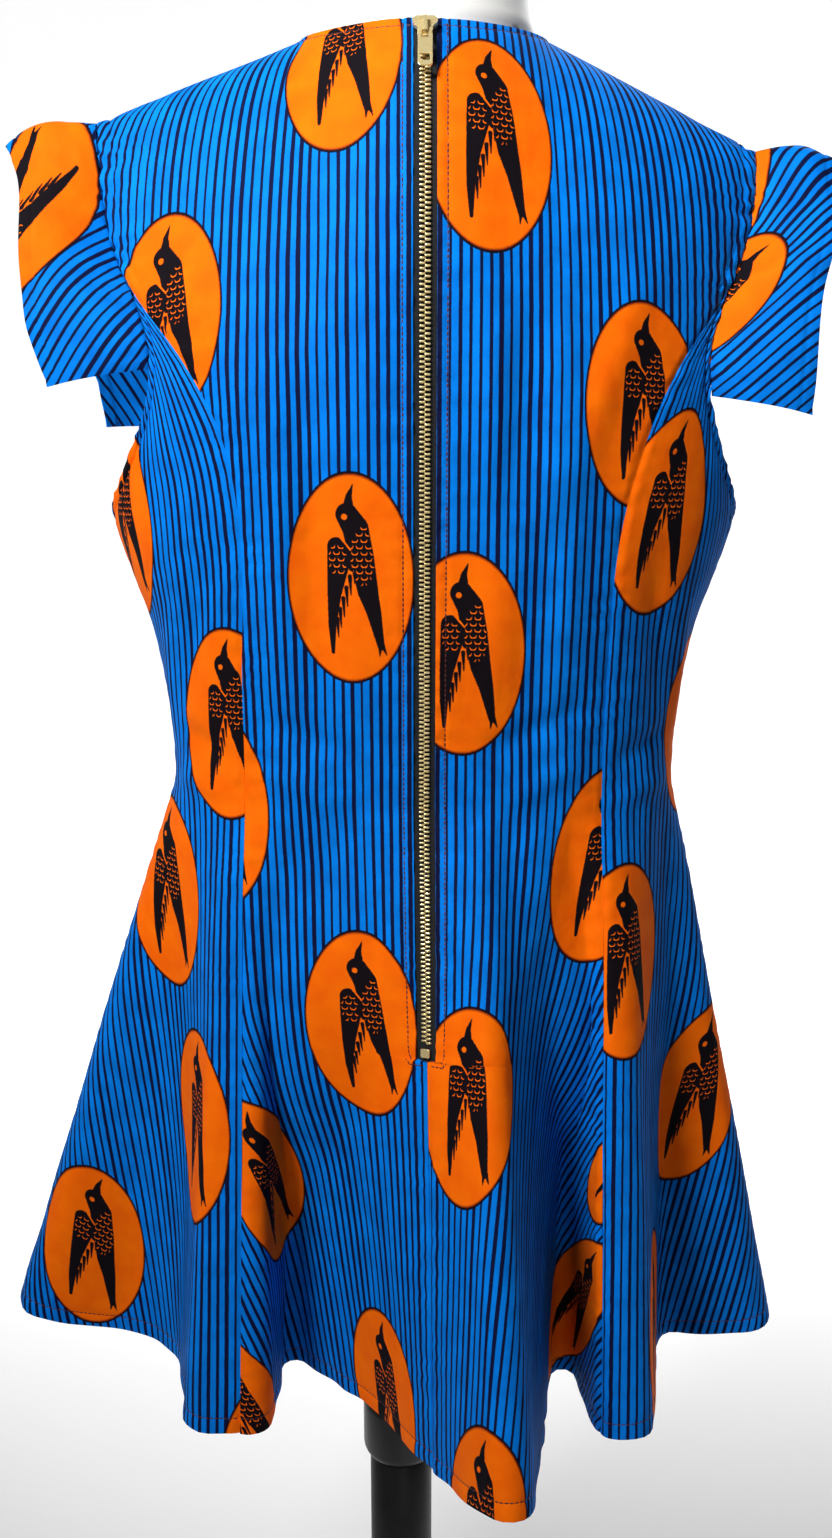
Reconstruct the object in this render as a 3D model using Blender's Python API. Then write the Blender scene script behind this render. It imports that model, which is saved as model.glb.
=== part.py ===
"""Ankara wax print dress with an exposed back zip, on a limbless dress form and its stand.

Metres, +Z up. The origin lies on the floor under the stand's pole. The zipped back faces -Y, and
the wearer's right is at +X. The dress is a ring of seven panels round the body, cut at a zip, four
princess seams and two side seams, with a cap sleeve in each armhole.

Every panel is a patch of one surface. Above the waist the surface is a stack of level sections,
each a rounded oval with a half-width, a back depth and a front depth, folded over at the shoulders.
Below the waist, straight lines fan out from the waist's section to a hem that runs like a belt
round posts: one post inside for each crest of the flare and one outside for each valley.
"""

import math

import bmesh
import bpy
import numpy as np
from mathutils import Matrix

# Cloth
WALL = 0.0012
SEAM_GAP = 0.0003
RIDGE_DROP = 1.5e-5
BODY_X = 0.015

# Heights of the dress
NECK_SIDE_Z = 1.399
NECK_BACK_Z = 1.3995
NECK_FRONT_Z = 1.325
NECK_HALF_WIDTH = 0.066
BUST_LINE_Z = 1.150
UNDERARM_Z = 1.152
SIDE_LOW_Z = 1.095
WAIST_Z = 0.995
SKIRT_LENGTH = 0.3694

# Shoulders
SHOULDER_SLOPE_LEFT = 0.38
SHOULDER_SLOPE_RIGHT = 0.50
NECK_RISE = 0.0528
NECK_RISE_POWER = 1.6
SHOULDER_Y_NECK = -0.008
SHOULDER_Y_TIP = -0.020
NAPE_FORWARD = 0.023
SHOULDER_ROLL_BACK = 0.18
SHOULDER_ROLL_FRONT = 0.20
SHOULDER_ROUNDNESS = 0.62
SHOULDER_TIP_LEFT = 0.174
SHOULDER_TIP_RIGHT = 0.177

# The rounded oval of a level section
OVAL_POWER = 2.3

# Columns of every table of level sections, after the height in column 0
HALF_WIDTH, BACK_DEPTH, FRONT_DEPTH = 1, 2, 3

# Level sections of the bodice: height, half-width, back depth, front depth
SECTIONS = (
    (0.960, 0.1505, 0.084, 0.100),
    (0.995, 0.1505, 0.084, 0.100),
    (1.020, 0.1505, 0.084, 0.101),
    (1.050, 0.1530, 0.086, 0.105),
    (1.090, 0.1600, 0.090, 0.113),
    (1.120, 0.1700, 0.092, 0.119),
    (1.152, 0.1790, 0.094, 0.123),
    (1.180, 0.1805, 0.096, 0.124),
    (1.230, 0.1830, 0.098, 0.118),
    (1.286, 0.1870, 0.099, 0.106),
    (1.340, 0.1890, 0.099, 0.092),
    (1.420, 0.1900, 0.099, 0.078),
)

# Columns of the edge tables, after the height in column 0
LEFT_EDGE, RIGHT_EDGE = 1, 2

# Back panel's outer edge: the armhole above the corner, then the princess seam
BACK_CORNER_Z = 1.270
BACK_EDGE = (
    (0.995, 0.102, 0.101),
    (1.060, 0.101, 0.101),
    (1.150, 0.098, 0.105),
    (1.200, 0.107, 0.118),
    (1.235, 0.126, 0.135),
    (1.270, 0.153, 0.160),
    (1.290, 0.163, 0.169),
    (1.315, 0.169, 0.175),
    (1.360, 0.174, 0.177),
)

# Front panel's outer edge: the same two stretches over the bust
FRONT_CORNER_Z = 1.262
FRONT_EDGE = (
    (0.995, 0.098, 0.098),
    (1.060, 0.092, 0.092),
    (1.110, 0.088, 0.088),
    (1.165, 0.091, 0.091),
    (1.210, 0.110, 0.112),
    (1.262, 0.143, 0.146),
    (1.290, 0.154, 0.157),
    (1.320, 0.164, 0.168),
    (1.360, 0.174, 0.177),
)

# Armhole below the corner: how sharply it drops, then runs level to the underarm
ARMHOLE_DROP_POWER = 1.8

# Posts that the hem runs round: centre x, centre y, radius, side (1 inside a crest, -1 in a valley)
HEM_POSTS = (
    (0.044, -0.220, 0.013, 1),
    (0.0865, -0.082, 0.007, -1),
    (0.118, -0.131, 0.018, 1),
    (0.163, -0.053, 0.012, -1),
    (0.209, -0.030, 0.019, 1),
    (0.207, 0.022, 0.020, 1),
    (0.166, 0.060, 0.014, -1),
    (0.116, 0.134, 0.017, 1),
    (0.084, 0.098, 0.010, -1),
    (0.018, 0.150, 0.024, 1),
    (-0.014, 0.152, 0.024, 1),
    (-0.078, 0.100, 0.010, -1),
    (-0.112, 0.132, 0.018, 1),
    (-0.182, 0.092, 0.042, -1),
    (-0.243, 0.020, 0.021, 1),
    (-0.245, -0.025, 0.021, 1),
    (-0.200, -0.092, 0.050, -1),
    (-0.126, -0.126, 0.016, 1),
    (-0.102, -0.128, 0.013, 1),
    (-0.080, -0.076, 0.008, -1),
    (-0.150, -0.204, 0.150, -1),
)
BELT_STEP = 0.001

# Where the seams reach the hem, in the order of the panels from the zip round by the wearer's right
HEM_SEAMS = (
    (0.0045, -0.172),
    (0.103, -0.141),
    (0.228, -0.008),
    (0.112, 0.151),
    (-0.106, 0.150),
    (-0.266, -0.005),
    (-0.107, -0.141),
)

# The hips under the skirt that hold its valleys out: height, half-width, back depth, front depth
HIP_FLOOR = (
    (0.560, 0.030, 0.020, 0.020),
    (0.640, 0.060, 0.035, 0.035),
    (0.720, 0.110, 0.065, 0.065),
    (0.780, 0.142, 0.086, 0.086),
    (0.830, 0.155, 0.098, 0.098),
    (0.870, 0.156, 0.099, 0.102),
    (0.910, 0.152, 0.094, 0.100),
    (0.950, 0.145, 0.084, 0.094),
    (0.995, 0.125, 0.060, 0.076),
)
HIP_SOFTNESS = 0.006
HIP_EASE = 0.04

# Rows and columns of the panels' walls
SKIRT_FRACTIONS = (1.0, 0.875, 0.75, 0.625, 0.5, 0.385, 0.378, 0.24, 0.12, 0.0)
LOWER_ROWS = 6
UPPER_ROWS = 4
SHOULDER_ROWS = 7
SHOULDER_ROW_POWER = 2.0
CENTRE_COLUMNS = 16
SIDE_COLUMNS = 14
FRONT_SIDE_COLUMNS = 12
FRONT_COLUMNS = 20
FINE_STEPS = 400
MIN_SHARE = 0.02
MIN_SPAN_COLUMNS = 2
SHARP_EDGE_DEGREES = 40

# Search for a middle panel's top edge: start below the neck's side, then halve the error
TOP_SEARCH_DROP = 0.02
TOP_SEARCH_STEPS = 12

# Zip
ZIP_HALF_OPENING = 0.006
TAPE_HALF_WIDTH = 0.0057
ZIP_END_FRACTION = 0.378
STOP_FRACTION = 0.365
TAPE_TOP_DROP = 0.0015
TAPE_SKIRT_FRACTIONS = (0.376, 0.24, 0.12, 0.0)
TAPE_BODICE_ROWS = 16
TAPE_ROW_POWER = 1.2
TAPE_COLUMNS = 2
ZIP_SHARE = 0.2
ZIP_STEP = 0.004
SLIDER_DROP = 0.0075
SLIDER_LENGTH = 0.0125
SLIDER_WIDTH = 0.0125
SLIDER_TAIL_WIDTH = 0.0076
SLIDER_LIFT = 0.0006
SLIDER_HEIGHT = 0.0026

# Slider's outline on one side: whether on the tail, share of that half-width, share of the length
SLIDER_SHAPE = (
    (True, 0.80, 0.50),
    (True, 1.00, 0.42),
    (True, 1.00, 0.05),
    (False, 1.00, -0.18),
    (False, 1.00, -0.36),
    (False, 0.72, -0.50),
)

# Slider's crown, pull tab and bottom stop
CROWN_WIDTH = 0.0024
CROWN_OPENING = 0.0072
CROWN_DOWN = 0.0008
CROWN_CLEAR = 0.0019
CROWN_BAR = 0.0009
CROWN_SINK = 0.0005
PIVOT_GAP = 0.0003
PULL_LENGTH = 0.0225
PULL_WIDTH = 0.0073
PULL_TOP_WIDTH = 0.0062
PULL_THICKNESS = 0.0010
PULL_BAR = 0.0012
PULL_NECK_LENGTH = 0.0054
PULL_ROUND = 0.001
PULL_SLOT_WIDTH = 0.0034
PULL_SLOT_LENGTH = 0.0046
PULL_HOLE_WIDTH = 0.0044
PULL_HOLE_LENGTH = 0.0042
PULL_HOLE_FROM_END = 0.0030
STOP_WIDTH = 0.0056
STOP_LENGTH = 0.0050
STOP_HEIGHT = 0.0016
STOP_LIFT = 0.0004
STOP_ROUND = 0.0006

# Sleeves: the hem is an arch round the arm's way out
SLEEVE_COLUMNS = 20
SLEEVE_ROWS = 5
ARMHOLE_LOW_STEPS = 16
ARMHOLE_HIGH_STEPS = 25
ARMHOLE_PROBE = 1e-4
SLEEVE_ARCH_Y = -0.008
SLEEVE_ARCH_BACK = 0.058
SLEEVE_ARCH_FRONT = 0.060
SLEEVE_ARCH_BACK_TURN = -92.0
SLEEVE_WAVE = 0.0035
SLEEVE_WAVE_TURNS = 2.6
SLEEVE_PUFF = 0.006
SLEEVE_GAP = 0.0009
SLEEVE_REACH_POWER = 0.8
SLEEVES = {
    "sleeve_left": dict(side=-1, low_back=1.231, low_front=1.198, base=1.226, rise=0.121,
                        reach_low=0.197, reach_top=0.220, wave_phase=0.4, front_turn=103.0),
    "sleeve_right": dict(side=1, low_back=1.217, low_front=1.226, base=1.212, rise=0.129,
                         reach_low=0.203, reach_top=0.219, wave_phase=2.4, front_turn=87.0),
}

# Dress form
FORM_DROP = 0.0023
FORM_BOTTOM_Z = 0.830
FORM_SIDE_POWER = 6.0
FORM_OVAL_MARGIN = 0.02

# Rounded edge of the form's underside: share of the lowest ring's size, share of the drop
FORM_FOOT = ((0.985, 0.5), (0.93, 1.0))
FORM_COLUMNS = 36

# Level sections of the form: height, half-width, back depth, front depth
FORM_SECTIONS = (
    (0.842, 0.149, 0.090, 0.090),
    (0.870, 0.150, 0.092, 0.095),
    (0.910, 0.146, 0.087, 0.093),
    (0.950, 0.1425, 0.080, 0.090),
    (0.995, 0.1420, 0.077, 0.092),
    (1.050, 0.1450, 0.080, 0.098),
    (1.110, 0.1500, 0.086, 0.110),
    (1.170, 0.1520, 0.091, 0.118),
    (1.230, 0.1480, 0.094, 0.112),
    (1.286, 0.1500, 0.095, 0.101),
    (1.325, 0.1560, 0.095, 0.086),
    (1.350, 0.1600, 0.094, 0.074),
    (1.400, 0.1600, 0.092, 0.058),
)

# Heights of the form's rings up to the neck's foot
FORM_LEVELS = (0.842, 0.870, 0.910, 0.950, 0.995, 1.050, 1.110, 1.160, 1.200, 1.240, 1.280,
               1.310, 1.332, 1.346, 1.358, 1.370, 1.381, 1.391, 1.3972)

# Neck's rings: height, half-width, half-depth, middle from back to front
NECK_RINGS = (
    (1.408, 0.0585, 0.0510, 0.000),
    (1.422, 0.0560, 0.0500, 0.003),
    (1.440, 0.0550, 0.0505, 0.006),
    (1.462, 0.0545, 0.0500, 0.008),
    (1.470, 0.0515, 0.0470, 0.008),
    (1.474, 0.0450, 0.0410, 0.008),
)

# Stand
BASE_HEIGHT = 0.022
POLE_RADIUS = 0.0215
TUBE_RADIUS = 0.0160
COLLAR_RADIUS = 0.0260
COLLAR_BOTTOM_Z = 0.503
COLLAR_TOP_Z = 0.550
COLLAR_ROUND = 0.008
STAND_SEGMENTS = 32
TOUCH_GAP = 0.0003

# Base's profile: radius, height
BASE_PROFILE = (
    (0.173, 0.0),
    (0.175, 0.002),
    (0.175, 0.008),
    (0.171, 0.012),
    (0.096, 0.019),
    (0.043, 0.021),
    (0.037, BASE_HEIGHT),
)

# Collar's rounded edge in shares of its rounding: inset, rise
COLLAR_EDGE = ((1.0, 0.0), (0.3, 0.3), (0.0, 1.0))

# Finishes: linear red, green, blue and alpha, then roughness and metallic
FINISHES = {
    "wax_print_blue": ((0.0, 0.22, 0.72, 1.0), 0.75, 0.0),
    "zip_tape_black": ((0.012, 0.012, 0.014, 1.0), 0.85, 0.0),
    "brass": ((0.80, 0.58, 0.25, 1.0), 0.30, 1.0),
    "form_white": ((0.82, 0.81, 0.79, 1.0), 0.45, 0.0),
    "stand_black": ((0.012, 0.012, 0.013, 1.0), 0.35, 0.0),
}


def clear_scene():
    """Removes every object that the file starts with."""
    for item in list(bpy.data.objects):
        bpy.data.objects.remove(item, do_unlink=True)


def finish(name):
    """Returns the named material, made once from its row of FINISHES."""
    material = bpy.data.materials.get(name)
    if material is None:
        colour, roughness, metallic = FINISHES[name]
        material = bpy.data.materials.new(name)
        material.use_nodes = True
        shader = material.node_tree.nodes["Principled BSDF"]
        shader.inputs["Base Color"].default_value = colour
        shader.inputs["Roughness"].default_value = roughness
        shader.inputs["Metallic"].default_value = metallic
        material.diffuse_color = colour
    return material


def add_object(name, points, faces, material, smooth=True):
    """Makes one object from its points and faces."""
    mesh = bpy.data.meshes.new(name)
    mesh.from_pydata([tuple(point) for point in points], [], [tuple(face) for face in faces])
    mesh.validate()
    mesh.materials.append(finish(material))
    if smooth:
        mesh.shade_smooth()
        mesh.set_sharp_from_angle(angle=math.radians(SHARP_EDGE_DEGREES))
    item = bpy.data.objects.new(name, mesh)
    bpy.context.scene.collection.objects.link(item)
    return item


def table(rows, z, column):
    """Reads one column of a table at the heights z, on a smooth curve through its rows.

    The curve is a cubic between neighbouring rows, with each row's slope the mean of the slopes
    of the two stretches beside it.
    """
    data = np.array(rows, dtype=float)
    knots, values = data[:, 0], data[:, column]
    steps = np.diff(values) / np.diff(knots)
    slopes = np.concatenate(([steps[0]], (steps[1:] + steps[:-1]) / 2, [steps[-1]]))
    z = np.clip(np.asarray(z, dtype=float), knots[0], knots[-1])
    i = np.clip(np.searchsorted(knots, z, side="right") - 1, 0, len(knots) - 2)
    width = knots[i + 1] - knots[i]
    t = (z - knots[i]) / width
    rise = values[i + 1] - values[i]
    start, end = slopes[i] * width, slopes[i + 1] * width
    return values[i] + t * (start + t * (3 * rise - 2 * start - end + t * (start + end - 2 * rise)))


def shoulder_z(x):
    """Height of the shoulder line over x, with the neck's virtual rise inside the neck opening."""
    reach = np.abs(x)
    slope = np.where(x < 0, SHOULDER_SLOPE_LEFT, SHOULDER_SLOPE_RIGHT)
    outside = np.minimum(NECK_HALF_WIDTH - reach, 0) * slope
    inside = NECK_RISE * np.clip(1 - (reach / NECK_HALF_WIDTH) ** NECK_RISE_POWER, 0, 1)
    return NECK_SIDE_Z + outside + inside


def shoulder_y(x):
    """Place of the shoulder line from back to front over x."""
    reach = np.abs(x)
    outward = np.clip((reach - NECK_HALF_WIDTH) / (SHOULDER_TIP_LEFT - NECK_HALF_WIDTH), 0, 1)
    inward = np.clip(1 - (reach / NECK_HALF_WIDTH) ** 2, 0, 1)
    return SHOULDER_Y_NECK + (SHOULDER_Y_TIP - SHOULDER_Y_NECK) * outward + NAPE_FORWARD * inward


def roll_over(x, y, z, drop=0.0):
    """Folds a level section over at the shoulder line.

    Below the line by more than the roll's height a point keeps its y. Nearer the line the y
    closes in on the line's own y, by a curve that starts steep and ends level.
    """
    roll = np.where(y > 0, SHOULDER_ROLL_FRONT, SHOULDER_ROLL_BACK)
    share = np.clip((shoulder_z(x) - drop - z) / roll, 0, 1)
    keep = (1 - (1 - share) ** 2) ** SHOULDER_ROUNDNESS
    return shoulder_y(x) + (y - shoulder_y(x)) * keep


def turn_of(x, half_width):
    """Turn from the middle line at which the rounded oval reaches x."""
    return np.arcsin(np.clip(np.abs(x) / half_width, 0, 1) ** (OVAL_POWER / 2))


def bodice(turn, front, z):
    """Point of the bodice at a signed turn from the middle line, on the front or the back."""
    half_width = table(SECTIONS, z, HALF_WIDTH)
    depth = table(SECTIONS, z, FRONT_DEPTH if front else BACK_DEPTH)
    x = half_width * np.sign(turn) * np.abs(np.sin(turn)) ** (2 / OVAL_POWER)
    y = depth * np.maximum(np.cos(turn), 0) ** (2 / OVAL_POWER)
    y = roll_over(x, y if front else -y, z)
    return np.stack([x, y, np.broadcast_to(z, x.shape)], axis=-1)


def hem_belt():
    """Hem's plan: arcs round the posts and the straight tangents between them, as dense points.

    Two posts with signed radii p and q, a way D apart, share a tangent whose direction is turned
    from the line of centres by the angle with the sine (p - q) / D.
    """
    posts = np.array(HEM_POSTS)
    centre, signed = posts[:, :2], posts[:, 2] * posts[:, 3]
    way = np.roll(centre, -1, axis=0) - centre
    step = signed - np.roll(signed, -1)
    heading = np.arctan2(way[:, 1], way[:, 0]) + np.arcsin(step / np.hypot(way[:, 0], way[:, 1]))
    points = []
    for i in range(len(posts)):
        arrive, leave = heading[i - 1], heading[i]
        bend = (leave - arrive + math.pi) % (2 * math.pi) - math.pi
        count = max(2, int(abs(bend * signed[i]) / BELT_STEP) + 2)
        along = arrive + bend * np.linspace(0, 1, count)
        points.append(centre[i] + signed[i] * np.stack([np.sin(along), -np.cos(along)], axis=1))
    loop = np.concatenate(points)
    loop = np.vstack([loop, loop[:1]])
    length = np.concatenate(([0], np.cumsum(np.hypot(*np.diff(loop, axis=0).T))))
    even = np.arange(0, length[-1], BELT_STEP)
    return np.stack([np.interp(even, length, loop[:, 0]), np.interp(even, length, loop[:, 1])], axis=1)


HEM = hem_belt()
HEM_MARKS = [int(np.argmin(np.hypot(*(HEM - np.array(mark)).T))) for mark in HEM_SEAMS]


def hem_point(panel, s):
    """Hem's plan at the share s of the way across a panel."""
    start = HEM_MARKS[panel]
    span = (HEM_MARKS[(panel + 1) % len(HEM_MARKS)] - start) % len(HEM)
    place = (start + s * span) % len(HEM)
    grid = np.arange(len(HEM) + 1)
    wrapped = np.vstack([HEM, HEM[:1]])
    return np.interp(place, grid, wrapped[:, 0]), np.interp(place, grid, wrapped[:, 1])


# Panels round the body: name, whether in front, side (1 right, -1 left, 0 both), columns
PANELS = (
    ("back_centre_right", False, 1, CENTRE_COLUMNS),
    ("back_side_right", False, 1, SIDE_COLUMNS),
    ("front_side_right", True, 1, FRONT_SIDE_COLUMNS),
    ("front_centre", True, 0, FRONT_COLUMNS),
    ("front_side_left", True, -1, FRONT_SIDE_COLUMNS),
    ("back_side_left", False, -1, SIDE_COLUMNS),
    ("back_centre_left", False, -1, CENTRE_COLUMNS),
)
CENTRES = ("back_centre_right", "front_centre", "back_centre_left")


def edge_turn(front, side, z):
    """Signed turn of a middle panel's outer edge at height z."""
    rows = FRONT_EDGE if front else BACK_EDGE
    reach = table(rows, z, LEFT_EDGE if side < 0 else RIGHT_EDGE)
    return side * turn_of(reach, table(SECTIONS, z, HALF_WIDTH))


def panel_turn(panel, s, z):
    """Signed turn at the share s of the way across a panel, at height z."""
    name, front, side = PANELS[panel][:3]
    if name == "back_centre_right":
        start, end = 0.0, edge_turn(False, 1, z)
    elif name == "back_centre_left":
        start, end = edge_turn(False, -1, z), 0.0
    elif name == "front_centre":
        start, end = edge_turn(True, 1, z), edge_turn(True, -1, z)
    else:
        seam = edge_turn(front, side, z)
        flank = side * math.pi / 2
        start, end = (seam, flank) if front == (side < 0) else (flank, seam)
    return start + (end - start) * s


def hold_out(x, y, z):
    """Pushes a skirt point out to the hips where a valley would fall inside them."""
    reach = np.hypot(x, y)
    cos, sin = np.abs(x) / reach, np.abs(y) / reach
    depth = np.where(y > 0, table(HIP_FLOOR, z, FRONT_DEPTH), table(HIP_FLOOR, z, BACK_DEPTH))
    width = table(HIP_FLOOR, z, HALF_WIDTH)
    floor = ((cos / width) ** OVAL_POWER + (sin / depth) ** OVAL_POWER) ** (-1 / OVAL_POWER)
    soft = HIP_SOFTNESS * np.clip((WAIST_Z - z) / HIP_EASE, 0, 1)
    held = (reach + floor + np.sqrt((reach - floor) ** 2 + soft ** 2)) / 2
    return x * held / reach, y * held / reach


def skirt(panel, s, down):
    """Point of the skirt at the share s across a panel and the share down from waist to hem.

    A straight line leads from the waist's section to the hem's plan. The skirt is cut to one
    length all round, so a line that leans out further ends higher.
    """
    waist = bodice(panel_turn(panel, s, WAIST_Z), PANELS[panel][1], WAIST_Z)
    hem_x, hem_y = hem_point(panel, s)
    lean = np.hypot(hem_x - waist[..., 0], hem_y - waist[..., 1])
    z = WAIST_Z - down * np.sqrt(SKIRT_LENGTH ** 2 - lean ** 2)
    x = waist[..., 0] + (hem_x - waist[..., 0]) * down
    y = waist[..., 1] + (hem_y - waist[..., 1]) * down
    x, y = hold_out(x, y, z)
    return np.stack([x, y, z], axis=-1)


def front_neck_z(x):
    """Front neckline: a quarter round from the side of the neck down to the middle."""
    share = np.clip(np.abs(x) / NECK_HALF_WIDTH, 0, 1)
    return NECK_FRONT_Z + (NECK_SIDE_Z - NECK_FRONT_Z) * (1 - np.sqrt(1 - share ** 2))


def top_z(panel, s):
    """Height of a panel's top edge at the share s across it."""
    name, front, side = PANELS[panel][:3]
    if name not in CENTRES:
        outward = s if front == (side < 0) else 1 - s
        corner = FRONT_CORNER_Z if front else BACK_CORNER_Z
        return UNDERARM_Z + (corner - UNDERARM_Z) * (1 - outward) ** ARMHOLE_DROP_POWER
    z = np.full_like(s, NECK_SIDE_Z - TOP_SEARCH_DROP)
    for _ in range(TOP_SEARCH_STEPS):
        x = bodice(panel_turn(panel, s, z), front, z)[..., 0]
        neck = front_neck_z(x) if front else NECK_BACK_Z
        edge = np.where(np.abs(x) < NECK_HALF_WIDTH, neck, shoulder_z(x) - RIDGE_DROP)
        z = (z + edge) / 2
    return z


def low_z(panel, s):
    """Height where a panel's lower rows end and its upper rows begin."""
    name, front, side = PANELS[panel][:3]
    if name in CENTRES:
        return np.full_like(s, BUST_LINE_Z)
    outward = s if front == (side < 0) else 1 - s
    return BUST_LINE_Z + (SIDE_LOW_Z - BUST_LINE_Z) * outward


def row_curves(panel, fine):
    """Rows of a panel from hem to top edge, each a curve of points over the fine shares."""
    name, front, side = PANELS[panel][:3]
    rows = [skirt(panel, fine, down) for down in SKIRT_FRACTIONS]
    low, top = low_z(panel, fine), top_z(panel, fine)
    heights = [WAIST_Z + (low - WAIST_Z) * k / LOWER_ROWS for k in range(1, LOWER_ROWS + 1)]
    corner = (FRONT_CORNER_Z if front else BACK_CORNER_Z) if name in CENTRES else top
    heights += [low + (corner - low) * k / UPPER_ROWS for k in range(1, UPPER_ROWS + 1)]
    if name in CENTRES:
        shares = [1 - (1 - k / SHOULDER_ROWS) ** SHOULDER_ROW_POWER for k in range(1, SHOULDER_ROWS + 1)]
        heights += [corner + (top - corner) * share for share in shares]
    rows += [bodice(panel_turn(panel, fine, z), front, z) for z in heights]
    return np.array(rows)


def outward_normals(grid):
    """Unit normals of a grid of points, rows upwards and columns round by the wearer's right."""
    across = np.gradient(grid, axis=1)
    up = np.gradient(grid, axis=0)
    normal = np.cross(across, up)
    return normal / np.linalg.norm(normal, axis=2, keepdims=True)


def level_ridge(curves, normals):
    """Turns the top row's normals square to the shoulder line, where front and back meet."""
    x = curves[-1][:, 0]
    slope = np.where(x < 0, SHOULDER_SLOPE_LEFT, SHOULDER_SLOPE_RIGHT) * np.sign(x)
    upright = np.stack([slope, np.zeros_like(x), np.ones_like(x)], axis=1)
    upright /= np.linalg.norm(upright, axis=1, keepdims=True)
    shoulder = (np.abs(x) >= NECK_HALF_WIDTH)[:, None]
    normals[-1] = np.where(shoulder, upright, normals[-1])
    return normals


def pick(curves, normals, gaps, shares):
    """Points and normals on each row at even shares of its length, inside the end gaps."""
    points, directions = [], []
    for curve, normal, (near, far) in zip(curves, normals, gaps, strict=True):
        length = np.concatenate(([0], np.cumsum(np.linalg.norm(np.diff(curve, axis=0), axis=1))))
        at = near + (length[-1] - near - far) * shares
        points.append(np.stack([np.interp(at, length, curve[:, i]) for i in range(3)], axis=1))
        directions.append(np.stack([np.interp(at, length, normal[:, i]) for i in range(3)], axis=1))
    return np.array(points), np.array(directions)


def wall(name, outer, normals, material, thickness=WALL):
    """Closed wall between a grid of outer points and the same grid moved inwards.

    Every rim quad is split from its lower outer corner to its upper inner one, so two panels'
    rims twist alike where they meet.
    """
    rows, columns = outer.shape[:2]
    inner = outer - thickness * normals
    points = np.concatenate([outer.reshape(-1, 3), inner.reshape(-1, 3)])
    points[:, 0] += BODY_X
    index = np.arange(rows * columns).reshape(rows, columns)
    back = index + rows * columns
    faces = []
    for r in range(rows - 1):
        for c in range(columns - 1):
            faces.append((index[r, c], index[r, c + 1], index[r + 1, c + 1], index[r + 1, c]))
            faces.append((back[r, c], back[r + 1, c], back[r + 1, c + 1], back[r, c + 1]))
    rim = list(index[0]) + list(index[1:, -1]) + list(index[-1, -2::-1]) + list(index[-2:0:-1, 0])
    rim_back = [i + rows * columns for i in rim]
    for i in range(len(rim)):
        j = (i + 1) % len(rim)
        if points[rim[j], 2] >= points[rim[i], 2]:
            faces += [(rim[j], rim[i], rim_back[j]), (rim[i], rim_back[i], rim_back[j])]
        else:
            faces += [(rim[j], rim[i], rim_back[i]), (rim[j], rim_back[i], rim_back[j])]
    return add_object(name, points, faces, material)


def column_shares(panel, curves):
    """Even column places, with one column on the corner between neckline and shoulder."""
    name, columns = PANELS[panel][0], PANELS[panel][3]
    if name not in CENTRES:
        return np.linspace(0, 1, columns + 1)
    top = curves[-1]
    length = np.concatenate(([0], np.cumsum(np.linalg.norm(np.diff(top, axis=0), axis=1))))
    inside = np.where(np.abs(top[:, 0]) < NECK_HALF_WIDTH)[0]
    first, last = length[inside[0]] / length[-1], length[inside[-1]] / length[-1]
    stops = [0.0] + [share for share in (first, last) if MIN_SHARE < share < 1 - MIN_SHARE] + [1.0]
    shares = [0.0]
    for start, end in zip(stops[:-1], stops[1:]):
        count = max(MIN_SPAN_COLUMNS, round((end - start) * columns))
        shares += list(start + (end - start) * np.arange(1, count + 1) / count)
    return np.array(shares)


def zip_gap(curves, at_end):
    """Half-opening of the back seam on each row: wide along the zip, a seam's gap below it."""
    gaps = []
    for row in range(len(curves)):
        below = row < SKIRT_FRACTIONS.index(ZIP_END_FRACTION)
        gaps.append(SEAM_GAP / 2 if below else ZIP_HALF_OPENING)
    plain = [SEAM_GAP / 2] * len(curves)
    return list(zip(plain, gaps)) if at_end else list(zip(gaps, plain))


def build_dress():
    """The seven panels as closed walls, with one shared direction of thickness along each seam."""
    fine = np.linspace(0, 1, FINE_STEPS + 1)
    curves = [row_curves(panel, fine) for panel in range(len(PANELS))]
    normals = [outward_normals(rows) for rows in curves]
    for panel, row in enumerate(PANELS):
        if row[0] in CENTRES:
            normals[panel] = level_ridge(curves[panel], normals[panel])
    shared = len(SKIRT_FRACTIONS) + LOWER_ROWS + UPPER_ROWS
    for panel in range(len(PANELS)):
        after = (panel + 1) % len(PANELS)
        mean = normals[panel][:shared, -1] + normals[after][:shared, 0]
        mean /= np.linalg.norm(mean, axis=1, keepdims=True)
        normals[panel][:shared, -1] = mean
        normals[after][:shared, 0] = mean
    for panel, row in enumerate(PANELS):
        gaps = [(SEAM_GAP / 2, SEAM_GAP / 2)] * len(curves[panel])
        if row[0].startswith("back_centre"):
            gaps = zip_gap(curves[panel], at_end=row[0].endswith("left"))
        shares = column_shares(panel, curves[panel])
        outer, directions = pick(curves[panel], normals[panel], gaps, shares)
        wall(row[0], outer, directions, "wax_print_blue")


def zip_side(panel, place, reach):
    """Point of a back panel's surface beside the back seam, at a distance along its own row."""
    near, far = (0, ZIP_SHARE) if panel == 0 else (1, 1 - ZIP_SHARE)
    share = np.linspace(near, far, FINE_STEPS)
    if place >= 0:
        row = skirt(panel, share, place)
    else:
        z = np.full_like(share, WAIST_Z - place)
        row = bodice(panel_turn(panel, share, z), False, z)
    length = np.concatenate(([0], np.cumsum(np.linalg.norm(np.diff(row, axis=0), axis=1))))
    return np.array([np.interp(reach, length, row[:, i]) for i in range(3)])


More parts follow.
